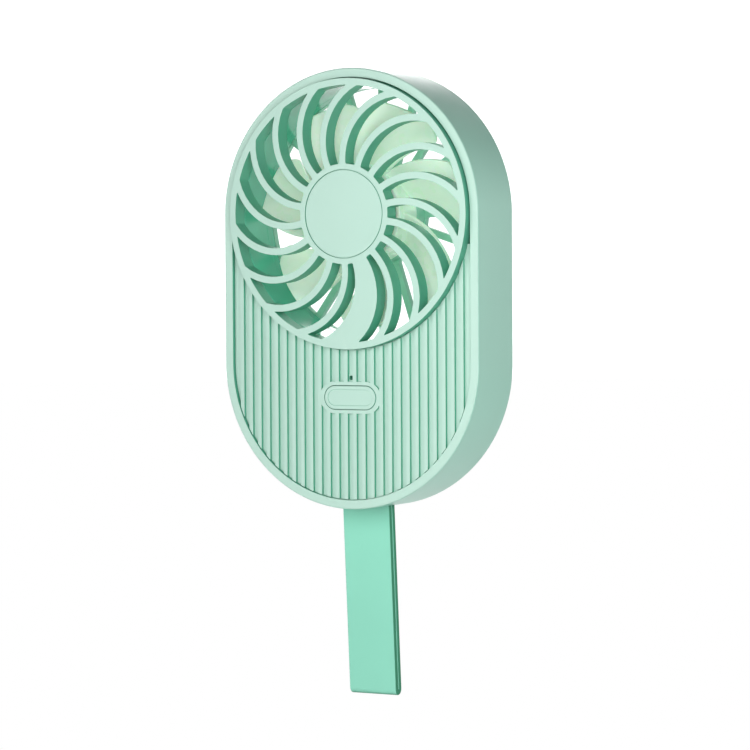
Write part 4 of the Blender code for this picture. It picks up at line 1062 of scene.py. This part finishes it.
def makeBlade(index):
    f = fan
    bm = bmesh.new()
    across, along = 26, 30
    bmesh.ops.create_grid(bm, x_segments=across, y_segments=along, size=0.5)
    start = math.radians(f["start"]) + 2 * math.pi * index / f["blades"]
    root = grille["hubRadius"] - f["hubWall"] / 2
    for vert in bm.verts:
        chord, share = vert.co.x + 0.5, vert.co.y + 0.5
        rounding = max(0.0, (share - f["cornerStart"]) / (1 - f["cornerStart"]))
        span = f["span"] - f["corner"] * rounding ** 2
        radius = root + (f["tip"] - root) * share
        x, z = onClock(radius, start + math.radians(f["sweep"] * share + span * chord))
        depth = f["front"] + (f["back"] - f["front"]) * chord * span / f["span"]
        vert.co = (x, rimY + depth, z)
    bmesh.ops.recalc_face_normals(bm, faces=bm.faces)
    blade = newPiece("blade", bm)
    thicken(blade, f["thickness"], f["bladeEdge"], 50)
    return blade


def makeFan():
    f = fan
    radius, front, back = grille["hubRadius"], rotorLow.y, rotorHigh.y
    bore, web = radius - f["hubWall"], back - f["hubWall"]
    profile = softened([(0, back, 0), (radius, back, f["hubEdge"]), (radius, front, f["hubEdge"]),
                        (bore, front, f["boreEdge"]), (bore, web, f["webEdge"]), (0, web, 0)])
    hub = newPiece("fanWheel", turnedPiece(profile, steps=144, closed=False))
    blades = []
    for index in range(f["blades"]):
        blade = makeBlade(index)
        bm = bmesh.new()
        bm.from_mesh(blade.data)
        blades.append(bm)
        bpy.data.objects.remove(blade)
    carve(hub, together(blades), "UNION")
    place(hub, "rotor", "paleFan", ["fan_rotor"], angle=40)


makeFan()
print("fan done")

# strap

strap = {
    "layer": 1.45 * mm, "gap": 0.3 * mm, "throat": 3.8 * mm, "pinGap": 0.3 * mm, "tilt": 3.8,
    "edge": 0.28 * mm, "drop": 53.6 * mm,
}


def runOn(bm, last, x, points):  # joins a row of (y, z) points to a vertex and gives back the new end
    for y, z in points:
        end = bm.verts.new((x, y, z))
        bm.edges.new((last, end))
        last = end
    return last


def makeStrap():
    s = strap
    aside = (s["layer"] + s["gap"]) / 2
    eye = (pinHigh.z - pinLow.z) / 2 + s["pinGap"] + s["layer"] / 2
    half = strapHigh.x
    touch = math.atan2(-s["throat"], aside) + math.acos(eye / math.hypot(aside, s["throat"]))
    bottom = -s["drop"] + s["layer"] / 2 + aside
    bm = bmesh.new()
    first = bm.verts.new((-half, -eye * math.cos(touch), eye * math.sin(touch)))
    over = bmesh.ops.spin(bm, geom=[first], cent=(-half, 0, 0), axis=(-1, 0, 0), angle=math.pi - 2 * touch,
                          steps=20)
    run = spread(-s["throat"], bottom, 16)
    last = runOn(bm, vertsOf(over["geom_last"])[0], -half, [(aside, z) for z in run])
    fold = bmesh.ops.spin(bm, geom=[last], cent=(-half, 0, bottom), axis=(-1, 0, 0), angle=math.pi, steps=10)
    run = spread(bottom, -s["throat"], 16)[1:]
    last = runOn(bm, vertsOf(fold["geom_last"])[0], -half, [(-aside, z) for z in run])
    bm.edges.new((last, first))
    bmesh.ops.remove_doubles(bm, verts=bm.verts, dist=1e-7)
    grown = bmesh.ops.extrude_edge_only(bm, edges=bm.edges[:])["geom"]
    bmesh.ops.translate(bm, vec=(2 * half, 0, 0), verts=vertsOf(grown))
    bmesh.ops.recalc_face_normals(bm, faces=bm.faces)
    turn = Matrix.Translation(pinPlace) @ Matrix.Rotation(math.radians(s["tilt"]), 4, "X")
    bmesh.ops.transform(bm, matrix=turn, verts=bm.verts)
    band = newPiece("wristStrap", bm)
    thicken(band, s["layer"], s["edge"], 60, even=True)
    place(band, "strap", "silicone", ["strap"])


makeStrap()
print("strap done")

# charging socket

socket = {
    "wall": 0.3 * mm, "floor": 1.0 * mm, "tongue": 0.7 * mm, "tongueSide": 1.2 * mm, "tongueEnd": 0.6 * mm,
    "tongueEdge": 0.15 * mm, "contacts": 12, "contactPitch": 0.5 * mm, "contactWidth": 0.25 * mm,
    "contactHeight": 0.05 * mm, "contactFront": 1.0 * mm, "contactBack": 1.5 * mm,
}


def makeSocket():
    s = socket
    front, back = socketLow.x, socketHigh.x
    tube = newPiece("socketShell", portBlock(0, front, back))
    carve(tube, portBlock(-s["wall"], front - past, back - s["floor"]))
    place(tube, "body", "steel", ["charge_socket"])
    middle = (socketLow + socketHigh) / 2
    half = (socketHigh.z - socketLow.z) / 2 - s["tongueSide"]
    tongue = crate((front + s["tongueEnd"], middle.y - s["tongue"] / 2, middle.z - half),
                   (back - s["tongueEnd"], middle.y + s["tongue"] / 2, middle.z + half), s["tongueEdge"])
    place(newPiece("socketTongue", tongue), "body", "blackPlastic", [])
    strips = []
    for i in range(s["contacts"]):
        z = middle.z + (i - (s["contacts"] - 1) / 2) * s["contactPitch"]
        for side in (-1, 1):
            face = middle.y + side * s["tongue"] / 2
            edge = face + side * s["contactHeight"]
            strips.append(crate((front + s["contactFront"], min(face, edge), z - s["contactWidth"] / 2),
                                (back - s["contactBack"], max(face, edge), z + s["contactWidth"] / 2)))
    place(newPiece("socketContacts", together(strips)), "body", "gold", [])


makeSocket()
print("socket done")

# the inner parts keep their shapes

inside = {
    "steel": ["rotor_yoke", "motor_shaft", "shaft_clip", "stator_core", "board_screw", "strap_pin"],
    "brass": ["bearing_tube"], "bronze": ["front_bearing", "rear_bearing"], "copperWire": ["stator_coil"],
    "magnet": ["rotor_magnet"], "board": ["motor_board", "control_board"],
    "blackPlastic": ["switch_body", "charge_chip"], "ivoryPlastic": ["switch_plunger"],
    "redLead": ["motor_lead_2", "battery_lead_2"], "blackLead": ["motor_lead_1", "battery_lead_1"],
    "cellWrap": ["battery"], "foam": ["battery_pad"], "lamp": ["pilot_lamp"], "clearPipe": ["light_pipe"],
}


def paintInside():
    for finishName, starts in inside.items():
        for name, node in nodes.items():
            if any(name == start or name[:-2] == start for start in starts):
                node.data.materials.clear()
                node.data.materials.append(finishes[finishName])


paintInside()
print("inner parts painted")
